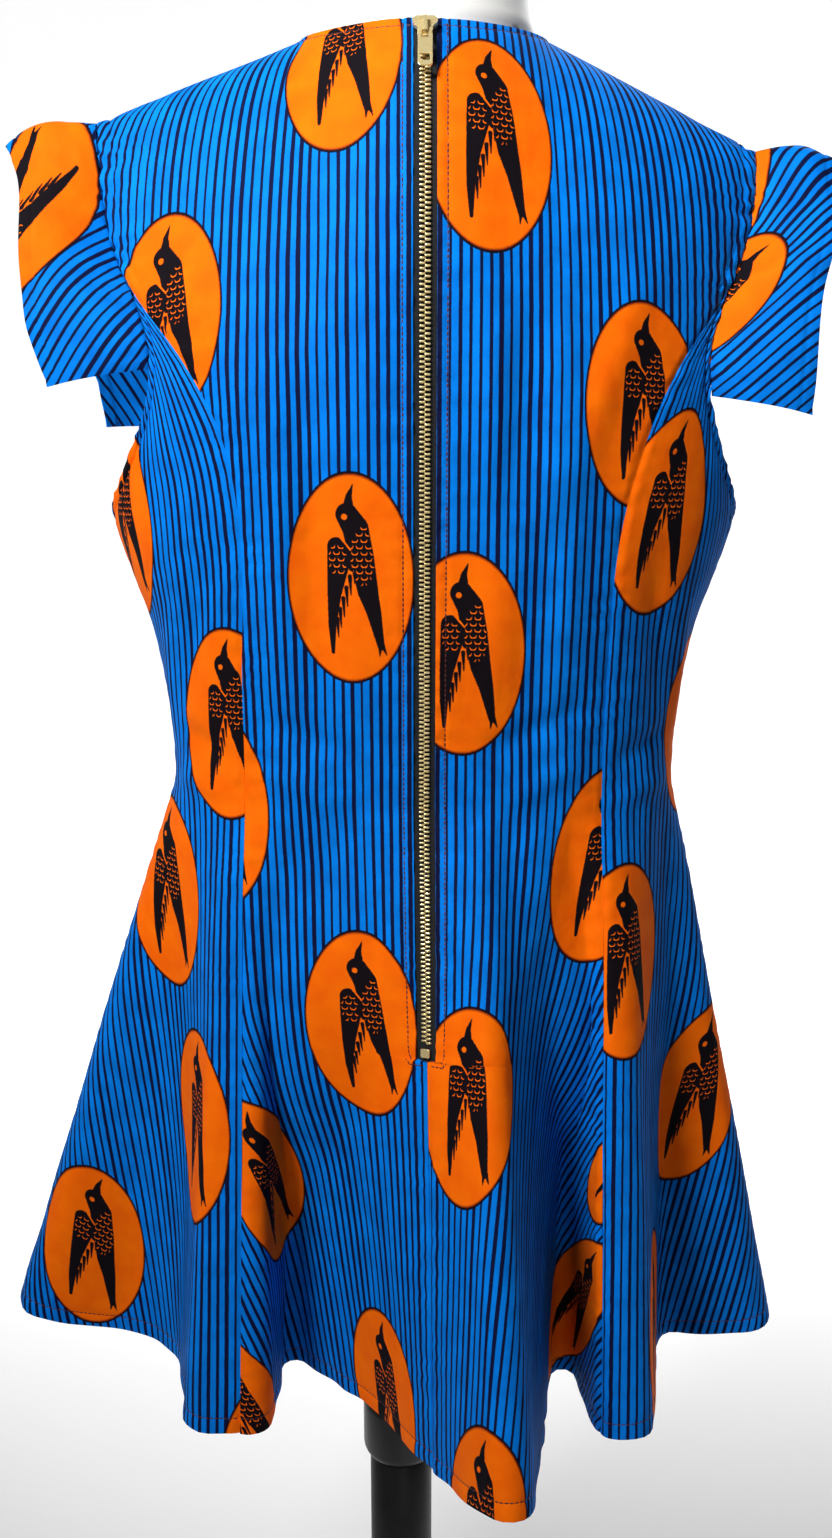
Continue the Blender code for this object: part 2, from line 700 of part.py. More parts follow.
def zip_line(place):
    """Point on the back seam, and the directions across it, down along it and out from it.

    Places from 0 to 1 run down the skirt, and below 0 they run up the bodice in metres.
    """
    here = zip_side(0, place, 0.0)
    along = zip_side(0, place + ZIP_STEP, 0.0) - zip_side(0, place - ZIP_STEP, 0.0)
    along /= np.linalg.norm(along)
    across = zip_side(0, place, TAPE_HALF_WIDTH) - zip_side(6, place, TAPE_HALF_WIDTH)
    outward = np.cross(along, across)
    outward /= np.linalg.norm(outward)
    if outward[1] > 0:
        outward = -outward
    return here, along, outward


def build_tape(name, side):
    """Zip tape: the strip of the same surface between the back seam and the panel's turned edge."""
    panel = 0 if side > 0 else 6
    fine = np.linspace(0, 1, FINE_STEPS * 4 + 1)
    rows = [skirt(panel, fine, down) for down in TAPE_SKIRT_FRACTIONS]
    rise = NECK_BACK_Z - TAPE_TOP_DROP - WAIST_Z
    for k in range(1, TAPE_BODICE_ROWS + 1):
        share = 1 - (1 - k / TAPE_BODICE_ROWS) ** TAPE_ROW_POWER
        z = np.full_like(fine, WAIST_Z + rise * share)
        rows.append(bodice(panel_turn(panel, fine, z), False, z))
    curves = np.array(rows)
    normals = outward_normals(curves)
    ends = []
    for curve in curves:
        length = float(np.sum(np.linalg.norm(np.diff(curve, axis=0), axis=1)))
        rest = length - TAPE_HALF_WIDTH
        ends.append((SEAM_GAP / 2, rest) if side > 0 else (rest, SEAM_GAP / 2))
    outer, directions = pick(curves, normals, ends, np.linspace(0, 1, TAPE_COLUMNS + 1))
    return wall(name, outer, directions, "zip_tape_black")


def seat(here, along, outward):
    """Matrix from a fitting's own axes (across, along the zip downwards, out) to the dress."""
    across = np.cross(along, outward)
    frame = np.eye(4)
    frame[:3, 0], frame[:3, 1], frame[:3, 2] = across, along, outward
    frame[:3, 3] = here
    frame[0, 3] += BODY_X
    return Matrix(frame.tolist())


def prism(name, outline, low, high, axis, material):
    """Closed prism of an outline, from low to high along its third axis."""
    count = len(outline)
    points = []
    for level in (low, high):
        for first, second in outline:
            points.append((level, first, second) if axis == "across" else (first, second, level))
    faces = [tuple(range(count - 1, -1, -1)), tuple(range(count, 2 * count))]
    for i in range(count):
        j = (i + 1) % count
        faces.append((i, j, count + j, count + i))
    item = add_object(name, points, faces, material, smooth=False)
    data = bmesh.new()
    data.from_mesh(item.data)
    bmesh.ops.recalc_face_normals(data, faces=data.faces)
    data.to_mesh(item.data)
    data.free()
    return item


def combine(item, other, operation):
    """Adds or cuts another object with a Boolean modifier and hides that object."""
    modifier = item.modifiers.new(operation.lower(), "BOOLEAN")
    modifier.operation = operation
    modifier.solver = "EXACT"
    modifier.object = other
    other.hide_render = True
    other.display_type = "WIRE"
    other.parent = item


def slider_outline():
    """Slider seen from outside: wide shoulders at the top and a narrower tail."""
    half, tail, length = SLIDER_WIDTH / 2, SLIDER_TAIL_WIDTH / 2, SLIDER_LENGTH
    right = []
    for on_tail, across, down in SLIDER_SHAPE:
        right.append((across * (tail if on_tail else half), down * length))
    return right + [(-x, y) for x, y in reversed(right)]


def build_slider():
    """Brass slider: a shaped body over the zip and a long crown, with the pull tab's bar at its foot."""
    z = NECK_BACK_Z - SLIDER_DROP
    here, along, outward = zip_line(WAIST_Z - z)
    low = SLIDER_LIFT
    high = low + SLIDER_HEIGHT
    body = prism("zip_slider", slider_outline(), low, high, "out", "brass")
    half = CROWN_OPENING / 2
    top = high + CROWN_CLEAR
    sunk = high - CROWN_SINK
    arch = [(-half - CROWN_BAR, sunk), (-half - CROWN_BAR, top + CROWN_BAR),
            (half + CROWN_BAR, top + CROWN_BAR), (half + CROWN_BAR, sunk),
            (half, sunk), (half, top), (-half, top), (-half, sunk)]
    arch = [(down + CROWN_DOWN, out) for down, out in arch]
    crown = prism("crown_guide", arch, -CROWN_WIDTH / 2, CROWN_WIDTH / 2, "across", "brass")
    combine(body, crown, "UNION")
    body.matrix_world = seat(here, along, outward)
    down = CROWN_DOWN + half - PULL_BAR / 2 - PIVOT_GAP
    pivot = here + along * down + outward * (high + CROWN_CLEAR / 2)
    return pivot, along, outward


def build_pull(pivot, along, outward):
    """Brass pull tab, a plate with a bar at its top that turns in the slider's crown."""
    half, top_half = PULL_WIDTH / 2, PULL_TOP_WIDTH / 2
    start, end = -PULL_BAR / 2, PULL_LENGTH
    right = [(top_half, start), (half, start + PULL_NECK_LENGTH), (half, end - PULL_ROUND),
             (half - PULL_ROUND, end)]
    outline = right + [(-x, y) for x, y in reversed(right)]
    tab = prism("zip_pull", outline, -PULL_THICKNESS / 2, PULL_THICKNESS / 2, "out", "brass")
    slot_top = PULL_BAR / 2
    hole_end = PULL_LENGTH - PULL_HOLE_FROM_END
    cuts = (("slot_guide", PULL_SLOT_WIDTH, slot_top, slot_top + PULL_SLOT_LENGTH),
            ("hole_guide", PULL_HOLE_WIDTH, hole_end - PULL_HOLE_LENGTH, hole_end))
    for name, width, near, far in cuts:
        box = [(width / 2, near), (width / 2, far), (-width / 2, far), (-width / 2, near)]
        combine(tab, prism(name, box, -PULL_THICKNESS, PULL_THICKNESS, "out", "brass"), "DIFFERENCE")
    tab.matrix_world = seat(pivot, along, outward)


def build_stop():
    """Brass bottom stop, folded over the chain's last teeth."""
    here, along, outward = zip_line(STOP_FRACTION)
    half, length = STOP_WIDTH / 2, STOP_LENGTH / 2
    right = [(half - STOP_ROUND, -length), (half, STOP_ROUND - length), (half, length - STOP_ROUND),
             (half - STOP_ROUND, length)]
    outline = right + [(-x, y) for x, y in reversed(right)]
    stop = prism("zip_stop", outline, STOP_LIFT, STOP_LIFT + STOP_HEIGHT, "out", "brass")
    stop.matrix_world = seat(here, along, outward)


def armhole(side, low_back, low_front):
    """Armhole as points and outward normals, from the sleeve's low back end over to its low front."""
    parts = []
    for front, low in ((False, low_back), (True, low_front)):
        corner = FRONT_CORNER_Z if front else BACK_CORNER_Z
        lower_z = np.linspace(low, corner, ARMHOLE_LOW_STEPS)
        share = (lower_z - UNDERARM_Z) / (corner - UNDERARM_Z)
        outward = 1 - share ** (1 / ARMHOLE_DROP_POWER)
        seam = edge_turn(front, side, lower_z)
        lower_turn = seam + (side * math.pi / 2 - seam) * outward
        tip = SHOULDER_TIP_LEFT if side < 0 else SHOULDER_TIP_RIGHT
        tip_z = float(shoulder_z(np.array([side * tip]))[0])
        rise = 1 - (1 - np.linspace(0, 1, ARMHOLE_HIGH_STEPS)[1:]) ** SHOULDER_ROW_POWER
        upper_z = corner + (tip_z - RIDGE_DROP - corner) * rise
        z = np.concatenate([lower_z, upper_z])
        turn = np.concatenate([lower_turn, edge_turn(front, side, upper_z)])
        point = bodice(turn, front, z)
        turned_by = ARMHOLE_PROBE * side * (-1 if front else 1)
        by_turn = bodice(turn + turned_by, front, z) - point
        by_z = point - bodice(turn, front, z - ARMHOLE_PROBE)
        normal = np.cross(by_turn, by_z) * side
        normal /= np.linalg.norm(normal, axis=1, keepdims=True)
        parts.append((point, normal))
    (back, back_normal), (fore, fore_normal) = parts
    points = np.concatenate([back, fore[::-1]])
    normals = np.concatenate([back_normal, fore_normal[::-1]])
    length = np.concatenate(([0], np.cumsum(np.linalg.norm(np.diff(points, axis=0), axis=1))))
    at = np.linspace(0, length[-1], SLEEVE_COLUMNS + 1)
    columns = [np.interp(at, length, points[:, i]) for i in range(3)]
    directions = [np.interp(at, length, normals[:, i]) for i in range(3)]
    return np.stack(columns, axis=1), np.stack(directions, axis=1)


def build_sleeve(name, side, low_back, low_front, base, rise, reach_low, reach_top, wave_phase, front_turn):
    """Cap sleeve: straight lines from the armhole to an arched hem, puffed a little between."""
    start, start_normal = armhole(side, low_back, low_front)
    away = np.cross(start_normal, np.gradient(start, axis=0))
    away *= np.sign(away[:, :1]) * side
    start = start + SLEEVE_GAP * away / np.linalg.norm(away, axis=1, keepdims=True)
    share = np.linspace(0, 1, SLEEVE_COLUMNS + 1)
    turn = np.radians(SLEEVE_ARCH_BACK_TURN + (front_turn - SLEEVE_ARCH_BACK_TURN) * share)
    depth = np.where(turn < 0, SLEEVE_ARCH_BACK, SLEEVE_ARCH_FRONT)
    lift = np.cos(turn)
    reach = reach_low + (reach_top - reach_low) * np.clip(lift, 0, 1) ** SLEEVE_REACH_POWER
    reach = reach + SLEEVE_WAVE * np.sin(2 * math.pi * SLEEVE_WAVE_TURNS * share + wave_phase)
    hem = np.stack([side * reach, SLEEVE_ARCH_Y + depth * np.sin(turn), base + rise * lift], axis=1)
    out = np.linspace(0, 1, SLEEVE_ROWS + 1)[:, None, None]
    grid = start[None] + (hem - start)[None] * out
    grid = grid + SLEEVE_PUFF * np.sin(math.pi * out) * start_normal[None]
    across = np.gradient(grid, axis=1)
    along = np.gradient(grid, axis=0)
    normals = np.cross(across, along) * side
    facing = np.sign(np.sum(normals * start_normal[None], axis=2, keepdims=True))
    normals *= np.where(facing == 0, 1, facing)
    normals /= np.linalg.norm(normals, axis=2, keepdims=True)
    blend = np.clip(out * SLEEVE_ROWS / 2, 0, 1)
    normals = start_normal[None] * (1 - blend) + normals * blend
    normals /= np.linalg.norm(normals, axis=2, keepdims=True)
    if side < 0:
        grid, normals = grid[:, ::-1], normals[:, ::-1]
    return wall(name, grid[::-1], normals[::-1], "wax_print_blue")


def form_ring(z):
    """Ring of the dress form at height z: the dress's own section, inset and rounded at its sides."""
    half = np.linspace(0, math.pi / 2, FORM_COLUMNS // 4 + 1)
    quarters = []
    for front, side in ((False, 1), (True, 1), (True, -1), (False, -1)):
        slope = SHOULDER_SLOPE_LEFT if side < 0 else SHOULDER_SLOPE_RIGHT
        shoulder = NECK_HALF_WIDTH + (NECK_SIDE_Z - FORM_DROP - z) / slope
        width = min(float(table(FORM_SECTIONS, z, HALF_WIDTH)), shoulder)
        turn = half if front == (side < 0) else half[::-1]
        share = np.sin(turn)
        x = side * width * share
        depth = float(table(FORM_SECTIONS, z, FRONT_DEPTH if front else BACK_DEPTH))
        oval = float(table(FORM_SECTIONS, z, HALF_WIDTH)) + FORM_OVAL_MARGIN
        y = depth * (1 - (np.abs(x) / oval) ** OVAL_POWER) ** (1 / OVAL_POWER)
        y = roll_over(x, y if front else -y, z, FORM_DROP)
        middle = shoulder_y(x)
        y = middle + (y - middle) * np.sqrt(np.clip(1 - share ** FORM_SIDE_POWER, 0, 1))
        quarters.append(np.stack([x, y, np.full_like(x, z)], axis=1)[:-1])
    return np.concatenate(quarters)


def ellipse_ring(z, half_width, depth, middle):
    """Level ellipse with the same number of points as a form ring."""
    turn = np.linspace(0, 2 * math.pi, FORM_COLUMNS, endpoint=False) - math.pi / 2
    return np.stack([half_width * np.cos(turn), middle + depth * np.sin(turn), np.full_like(turn, z)], axis=1)


def build_form():
    """Limbless torso with a plain neck, closed at its flat underside and at its neck's top."""
    rings = [form_ring(z) for z in FORM_LEVELS]
    rings += [ellipse_ring(*row) for row in NECK_RINGS]
    under = rings[0].copy()
    middle = under.mean(axis=0)
    for share, drop in FORM_FOOT:
        ring = middle + (under - middle) * share
        ring[:, 2] = FORM_LEVELS[0] - (FORM_LEVELS[0] - FORM_BOTTOM_Z) * drop
        rings.insert(0, ring)
    points = np.concatenate(rings)
    points[:, 0] += BODY_X
    count = FORM_COLUMNS
    faces = []
    for r in range(len(rings) - 1):
        for c in range(count):
            d = (c + 1) % count
            faces.append((r * count + c, r * count + d, (r + 1) * count + d, (r + 1) * count + c))
    faces.append(tuple(range(count - 1, -1, -1)))
    last = (len(rings) - 1) * count
    faces.append(tuple(range(last, last + count)))
    return add_object("form_torso", points, faces, "form_white")


def turned(name, profile, material):
    """Closed turned piece on the pole's axis, from a profile of radius and height from the foot up."""
    angle = np.linspace(0, 2 * math.pi, STAND_SEGMENTS, endpoint=False)
    points = []
    for radius, height in profile:
        points += [(radius * math.cos(a), radius * math.sin(a), height) for a in angle]
    faces = [tuple(range(STAND_SEGMENTS - 1, -1, -1))]
    for r in range(len(profile) - 1):
        for c in range(STAND_SEGMENTS):
            d = (c + 1) % STAND_SEGMENTS
            low, high = r * STAND_SEGMENTS, (r + 1) * STAND_SEGMENTS
            faces.append((low + c, low + d, high + d, high + c))
    last = (len(profile) - 1) * STAND_SEGMENTS
    faces.append(tuple(range(last, last + STAND_SEGMENTS)))
    return add_object(name, points, faces, material)


def build_stand():
    """Round base, pole, clamp collar and the inner tube that carries the form."""
    turned("stand_base", BASE_PROFILE, "stand_black")
    turned("stand_pole", [(POLE_RADIUS, BASE_HEIGHT + TOUCH_GAP),
                          (POLE_RADIUS, COLLAR_BOTTOM_Z - TOUCH_GAP)], "stand_black")
    half = [(COLLAR_RADIUS - COLLAR_ROUND * inset, COLLAR_ROUND * rise) for inset, rise in COLLAR_EDGE]
    foot = [(radius, COLLAR_BOTTOM_Z + rise) for radius, rise in half]
    head = [(radius, COLLAR_TOP_Z - rise) for radius, rise in reversed(half)]
    turned("stand_collar", foot + head, "stand_black")
    turned("stand_tube", [(TUBE_RADIUS, COLLAR_TOP_Z + TOUCH_GAP),
                          (TUBE_RADIUS, FORM_BOTTOM_Z - TOUCH_GAP)], "stand_black")


def build():
    """The whole dress on its form."""
    clear_scene()
    build_dress()
    for name, sizes in SLEEVES.items():
        build_sleeve(name, **sizes)
    build_tape("zip_tape_left", -1)
    build_tape("zip_tape_right", 1)
    pivot, along, outward = build_slider()
    build_pull(pivot, along, outward)
    build_stop()
    build_form()
    build_stand()


build()
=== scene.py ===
"""Looks of the wax print dress on its dress form: fine cloth, print, stitching, zip and stand.

Metres, +Z up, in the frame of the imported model. The zipped back faces -Y and the wearer's right is
at +X. The dress is a ring of seven panels. Each is a patch of one surface, worked out here by the
same formulas as the solids and then given its small folds, its turned edges and its print.
"""

import math

import bmesh
import bpy
import numpy as np
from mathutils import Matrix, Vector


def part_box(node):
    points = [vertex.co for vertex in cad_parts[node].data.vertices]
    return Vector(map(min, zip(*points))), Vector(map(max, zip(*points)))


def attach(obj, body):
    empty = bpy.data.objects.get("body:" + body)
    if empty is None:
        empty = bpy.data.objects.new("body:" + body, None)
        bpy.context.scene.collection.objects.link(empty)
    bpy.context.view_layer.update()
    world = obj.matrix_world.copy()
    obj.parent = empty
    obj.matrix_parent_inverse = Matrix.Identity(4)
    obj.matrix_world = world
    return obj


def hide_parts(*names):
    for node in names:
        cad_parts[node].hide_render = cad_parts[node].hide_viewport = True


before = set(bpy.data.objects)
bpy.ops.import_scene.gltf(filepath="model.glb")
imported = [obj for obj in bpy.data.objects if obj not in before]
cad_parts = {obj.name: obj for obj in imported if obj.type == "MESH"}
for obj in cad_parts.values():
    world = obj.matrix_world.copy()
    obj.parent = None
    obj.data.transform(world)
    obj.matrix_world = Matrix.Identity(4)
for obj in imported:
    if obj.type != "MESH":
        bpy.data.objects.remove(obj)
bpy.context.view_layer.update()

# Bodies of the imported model
CLOTH_BODY = "dress_on_form"
PULL_BODY = "pull_tab"

# Cloth
SEAM_GAP = 0.00005
RIDGE_DROP = 1.5e-5
BODY_X = 0.015
CLOTH = 0.00060
TURNED_CLOTH = 0.00105
HEM_TURN = 0.0095

# Heights of the dress
NECK_SIDE_Z = 1.399
NECK_BACK_Z = 1.3995
NECK_FRONT_Z = 1.325
NECK_HALF_WIDTH = 0.066
BUST_LINE_Z = 1.150
UNDERARM_Z = 1.152
SIDE_LOW_Z = 1.095
WAIST_Z = 0.995
SKIRT_LENGTH = 0.3694

# Shoulders
SHOULDER_SLOPE_LEFT = 0.38
SHOULDER_SLOPE_RIGHT = 0.50
NECK_RISE = 0.0528
NECK_RISE_POWER = 1.6
SHOULDER_Y_NECK = -0.008
SHOULDER_Y_TIP = -0.020
NAPE_FORWARD = 0.023
SHOULDER_ROLL_BACK = 0.18
SHOULDER_ROLL_FRONT = 0.20
SHOULDER_ROUNDNESS = 0.62
SHOULDER_TIP_LEFT = 0.174
SHOULDER_TIP_RIGHT = 0.177

# The rounded oval of a level section
OVAL_POWER = 2.3

# Columns of every table of level sections, after the height in column 0
HALF_WIDTH, BACK_DEPTH, FRONT_DEPTH = 1, 2, 3

# Level sections of the bodice: height, half-width, back depth, front depth
SECTIONS = (
    (0.960, 0.1505, 0.084, 0.100),
    (0.995, 0.1505, 0.084, 0.100),
    (1.020, 0.1505, 0.084, 0.101),
    (1.050, 0.1530, 0.086, 0.105),
    (1.090, 0.1600, 0.090, 0.113),
    (1.120, 0.1700, 0.092, 0.119),
    (1.152, 0.1790, 0.094, 0.123),
    (1.180, 0.1805, 0.096, 0.124),
    (1.230, 0.1830, 0.098, 0.118),
    (1.286, 0.1870, 0.099, 0.106),
    (1.340, 0.1890, 0.099, 0.092),
    (1.420, 0.1900, 0.099, 0.078),
)

# Columns of the edge tables, after the height in column 0
LEFT_EDGE, RIGHT_EDGE = 1, 2

# Back panel's outer edge: the armhole above the corner, then the princess seam
BACK_CORNER_Z = 1.270
BACK_EDGE = (
    (0.995, 0.102, 0.101),
    (1.060, 0.101, 0.101),
    (1.150, 0.098, 0.105),
    (1.200, 0.107, 0.118),
    (1.235, 0.126, 0.135),
    (1.270, 0.153, 0.160),
    (1.290, 0.163, 0.169),
    (1.315, 0.169, 0.175),
    (1.360, 0.174, 0.177),
)

# Front panel's outer edge: the same two stretches over the bust
FRONT_CORNER_Z = 1.262
FRONT_EDGE = (
    (0.995, 0.098, 0.098),
    (1.060, 0.092, 0.092),
    (1.110, 0.088, 0.088),
    (1.165, 0.091, 0.091),
    (1.210, 0.110, 0.112),
    (1.262, 0.143, 0.146),
    (1.290, 0.154, 0.157),
    (1.320, 0.164, 0.168),
    (1.360, 0.174, 0.177),
)

# Armhole below the corner: how sharply it drops, then runs level to the underarm
ARMHOLE_DROP_POWER = 1.8

# Posts that the hem runs round: centre x, centre y, radius, side (1 inside a crest, -1 in a valley)
HEM_POSTS = (
    (0.044, -0.220, 0.013, 1),
    (0.0865, -0.082, 0.007, -1),
    (0.118, -0.131, 0.018, 1),
    (0.163, -0.053, 0.012, -1),
    (0.209, -0.030, 0.019, 1),
    (0.207, 0.022, 0.020, 1),
    (0.166, 0.060, 0.014, -1),
    (0.116, 0.134, 0.017, 1),
    (0.084, 0.098, 0.010, -1),
    (0.018, 0.150, 0.024, 1),
    (-0.014, 0.152, 0.024, 1),
    (-0.078, 0.100, 0.010, -1),
    (-0.112, 0.132, 0.018, 1),
    (-0.182, 0.092, 0.042, -1),
    (-0.243, 0.020, 0.021, 1),
    (-0.245, -0.025, 0.021, 1),
    (-0.200, -0.092, 0.050, -1),
    (-0.126, -0.126, 0.016, 1),
    (-0.102, -0.128, 0.013, 1),
    (-0.080, -0.076, 0.008, -1),
    (-0.150, -0.204, 0.150, -1),
)
BELT_STEP = 0.001

# Where the seams reach the hem, in the order of the panels from the zip round by the wearer's right
HEM_SEAMS = (
    (0.0045, -0.172),
    (0.103, -0.141),
    (0.228, -0.008),
    (0.112, 0.151),
    (-0.106, 0.150),
    (-0.266, -0.005),
    (-0.107, -0.141),
)

# The hips under the skirt that hold its valleys out: height, half-width, back depth, front depth
HIP_FLOOR = (
    (0.560, 0.030, 0.020, 0.020),
    (0.640, 0.060, 0.035, 0.035),
    (0.720, 0.110, 0.065, 0.065),
    (0.780, 0.142, 0.086, 0.086),
    (0.830, 0.155, 0.098, 0.098),
    (0.870, 0.156, 0.099, 0.102),
    (0.910, 0.152, 0.094, 0.100),
    (0.950, 0.145, 0.084, 0.094),
    (0.995, 0.125, 0.060, 0.076),
)
HIP_SOFTNESS = 0.006
HIP_EASE = 0.04

# Panels round the body: name, whether in front, side (1 right, -1 left, 0 both)
PANELS = (
    ("back_centre_right", False, 1),
    ("back_side_right", False, 1),
    ("front_side_right", True, 1),
    ("front_centre", True, 0),
    ("front_side_left", True, -1),
    ("back_side_left", False, -1),
    ("back_centre_left", False, -1),
)
CENTRES = ("back_centre_right", "front_centre", "back_centre_left")
RIGHT_BACK = 0
LEFT_BACK = len(PANELS) - 1
ZIP_HALF_OPENING = 0.006
ZIP_END_FRACTION = 0.378

# Rows and columns of the fine cloth, and how many rows above the waist count as one share
SKIRT_ROWS = 112
LOWER_ROWS = 48
UPPER_ROWS = 32
SHOULDER_ROWS = 52
ZIP_END_STEP = 0.002
SHOULDER_ROW_POWER = 2.0
ROWS_PER_SHARE = 100
FINE_STEPS = 360
CLOTH_STEP = 0.0030
FEWEST_COLUMNS = 12
COLUMNS_FOR_FLARE = 1.5
TOP_SEARCH_DROP = 0.02
TOP_SEARCH_STEPS = 12

# Distances from an edge where the cloth has a column or a row of its own
EDGE_STATIONS = (0.0, 0.0005, 0.0013, 0.0026, 0.0044, 0.0050, 0.0056, 0.0070)
HEM_STATIONS = (0.0, 0.0005, 0.0013, 0.0030, 0.0055, 0.0084, 0.0090, 0.0096, 0.0125)

# Turned and topstitched edges
NECK_STITCH = 0.0050
ZIP_STITCH = 0.0053
HEM_STITCH = 0.0090

# Print: stripes along the grain
STRIPE_PITCH = 5.15
STRIPE_DARK_SHARE = 0.375
STRIPE_DARK_SPREAD = 0.13

# Print: half-sizes of the oval in millimetres, and units of the oval map to a metre
OVAL_HALF_WIDTH = 33.0
OVAL_HALF_HEIGHT = 55.0
OVAL_MAP_SCALE = 10

# Ovals on each cut piece: millimetres out from the grain line and down from the waist, degrees clockwise
OVALS = {
    "back_centre_right": ((33, -348), (115, -222), (21, -88), (109, 36), (28, 164), (221, 190),
                          (236, 312), (56, 385)),
    "back_centre_left": ((-45, -399), (-138, -274), (-39, -129), (-122, 6), (-39, 125), (-133, 228),
                         (-50, 359), (-221, 362)),
    "back_side_right": ((25, -163), (15, 93), (84, -34), (116, 202), (68, 325)),
    "back_side_left": ((-97, -158), (-11, -45), (-70, 66), (-40, 196), (-162, 312, 16), (22, 392)),
    "front_side_right": ((-30, -190), (-84, -60), (-40, 70), (-120, 150), (-60, 260), (-170, 330)),
    "front_side_left": ((50, -215), (96, -90), (30, 10), (110, 90), (60, 215), (150, 290)),
    "front_centre": ((-62, -265), (52, -190), (-30, -105), (66, -30), (-64, 40), (24, 120),
                     (-96, 190), (110, 210), (-10, 285), (-130, 330), (100, 350)),
}


def table(rows, z, column):
    """Reads one column of a table at the heights z, on a smooth curve through its rows.

    The curve is a cubic between neighbouring rows, with each row's slope the mean of the slopes
    of the two stretches beside it.
    """
    data = np.array(rows, dtype=float)
    knots, values = data[:, 0], data[:, column]
    steps = np.diff(values) / np.diff(knots)
    slopes = np.concatenate(([steps[0]], (steps[1:] + steps[:-1]) / 2, [steps[-1]]))
    z = np.clip(np.asarray(z, dtype=float), knots[0], knots[-1])
    i = np.clip(np.searchsorted(knots, z, side="right") - 1, 0, len(knots) - 2)
    width = knots[i + 1] - knots[i]
    t = (z - knots[i]) / width
    rise = values[i + 1] - values[i]
    start, end = slopes[i] * width, slopes[i + 1] * width
    return values[i] + t * (start + t * (3 * rise - 2 * start - end + t * (start + end - 2 * rise)))


def unit(vectors):
    """Vectors along the last axis, scaled to length one."""
    return vectors / np.linalg.norm(vectors, axis=-1, keepdims=True)


def lengths(points):
    """Running length along the first axis of a line, or of every column of a grid."""
    steps = np.linalg.norm(np.diff(points, axis=0), axis=-1)
    return np.concatenate([np.zeros((1,) + steps.shape[1:]), np.cumsum(steps, axis=0)])


def read_points(at, length, line):
    """Points of a line, or its normals, read at lengths along it."""
    return np.stack([np.interp(at, length, line[:, i]) for i in range(3)], axis=-1)


def shoulder_z(x):
    """Height of the shoulder line over x, with the neck's virtual rise inside the neck opening."""
    reach = np.abs(x)
    slope = np.where(x < 0, SHOULDER_SLOPE_LEFT, SHOULDER_SLOPE_RIGHT)
    outside = np.minimum(NECK_HALF_WIDTH - reach, 0) * slope
    inside = NECK_RISE * np.clip(1 - (reach / NECK_HALF_WIDTH) ** NECK_RISE_POWER, 0, 1)
    return NECK_SIDE_Z + outside + inside


def shoulder_y(x):
    """Place of the shoulder line from back to front over x."""
    reach = np.abs(x)
    outward = np.clip((reach - NECK_HALF_WIDTH) / (SHOULDER_TIP_LEFT - NECK_HALF_WIDTH), 0, 1)
    inward = np.clip(1 - (reach / NECK_HALF_WIDTH) ** 2, 0, 1)
    return SHOULDER_Y_NECK + (SHOULDER_Y_TIP - SHOULDER_Y_NECK) * outward + NAPE_FORWARD * inward


def roll_over(x, y, z, drop=0.0):
    """Folds a level section over at the shoulder line: y closes in on the line's own y near it."""
    roll = np.where(y > 0, SHOULDER_ROLL_FRONT, SHOULDER_ROLL_BACK)
    share = np.clip((shoulder_z(x) - drop - z) / roll, 0, 1)
    keep = (1 - (1 - share) ** 2) ** SHOULDER_ROUNDNESS
    return shoulder_y(x) + (y - shoulder_y(x)) * keep


def turn_of(x, half_width):
    """Turn from the middle line at which the rounded oval reaches x."""
    return np.arcsin(np.clip(np.abs(x) / half_width, 0, 1) ** (OVAL_POWER / 2))


def bodice(turn, front, z):
    """Point of the bodice at a signed turn from the middle line, on the front or the back."""
    half_width = table(SECTIONS, z, HALF_WIDTH)
    depth = table(SECTIONS, z, FRONT_DEPTH if front else BACK_DEPTH)
    x = half_width * np.sign(turn) * np.abs(np.sin(turn)) ** (2 / OVAL_POWER)
    y = depth * np.maximum(np.cos(turn), 0) ** (2 / OVAL_POWER)
    y = roll_over(x, y if front else -y, z)
    return np.stack([x, y, np.broadcast_to(z, x.shape)], axis=-1)


def hem_belt():
    """Hem's plan: arcs round the posts and the straight tangents between them, as dense points.

    Two posts with signed radii p and q, a way D apart, share a tangent whose direction is turned
    from the line of centres by the angle with the sine (p - q) / D.
    """
    posts = np.array(HEM_POSTS)
    centre, signed = posts[:, :2], posts[:, 2] * posts[:, 3]
    way = np.roll(centre, -1, axis=0) - centre
    step = signed - np.roll(signed, -1)
    heading = np.arctan2(way[:, 1], way[:, 0]) + np.arcsin(step / np.hypot(way[:, 0], way[:, 1]))
    points = []
    for i in range(len(posts)):
        arrive, leave = heading[i - 1], heading[i]
        bend = (leave - arrive + math.pi) % (2 * math.pi) - math.pi
        count = max(2, int(abs(bend * signed[i]) / BELT_STEP) + 2)
        along = arrive + bend * np.linspace(0, 1, count)
        points.append(centre[i] + signed[i] * np.stack([np.sin(along), -np.cos(along)], axis=1))
    loop = np.concatenate(points)
    loop = np.vstack([loop, loop[:1]])
    length = lengths(loop)
    even = np.arange(0, length[-1], BELT_STEP)
    return np.stack([np.interp(even, length, loop[:, 0]), np.interp(even, length, loop[:, 1])], axis=1)


HEM = hem_belt()
HEM_MARKS = [int(np.argmin(np.hypot(*(HEM - np.array(mark)).T))) for mark in HEM_SEAMS]


def hem_point(panel, s):
    """Hem's plan at the share s of the way across a panel."""
    start = HEM_MARKS[panel]
    span = (HEM_MARKS[(panel + 1) % len(HEM_MARKS)] - start) % len(HEM)
    place = (start + s * span) % len(HEM)
    grid = np.arange(len(HEM) + 1)
    wrapped = np.vstack([HEM, HEM[:1]])
    return np.interp(place, grid, wrapped[:, 0]), np.interp(place, grid, wrapped[:, 1])


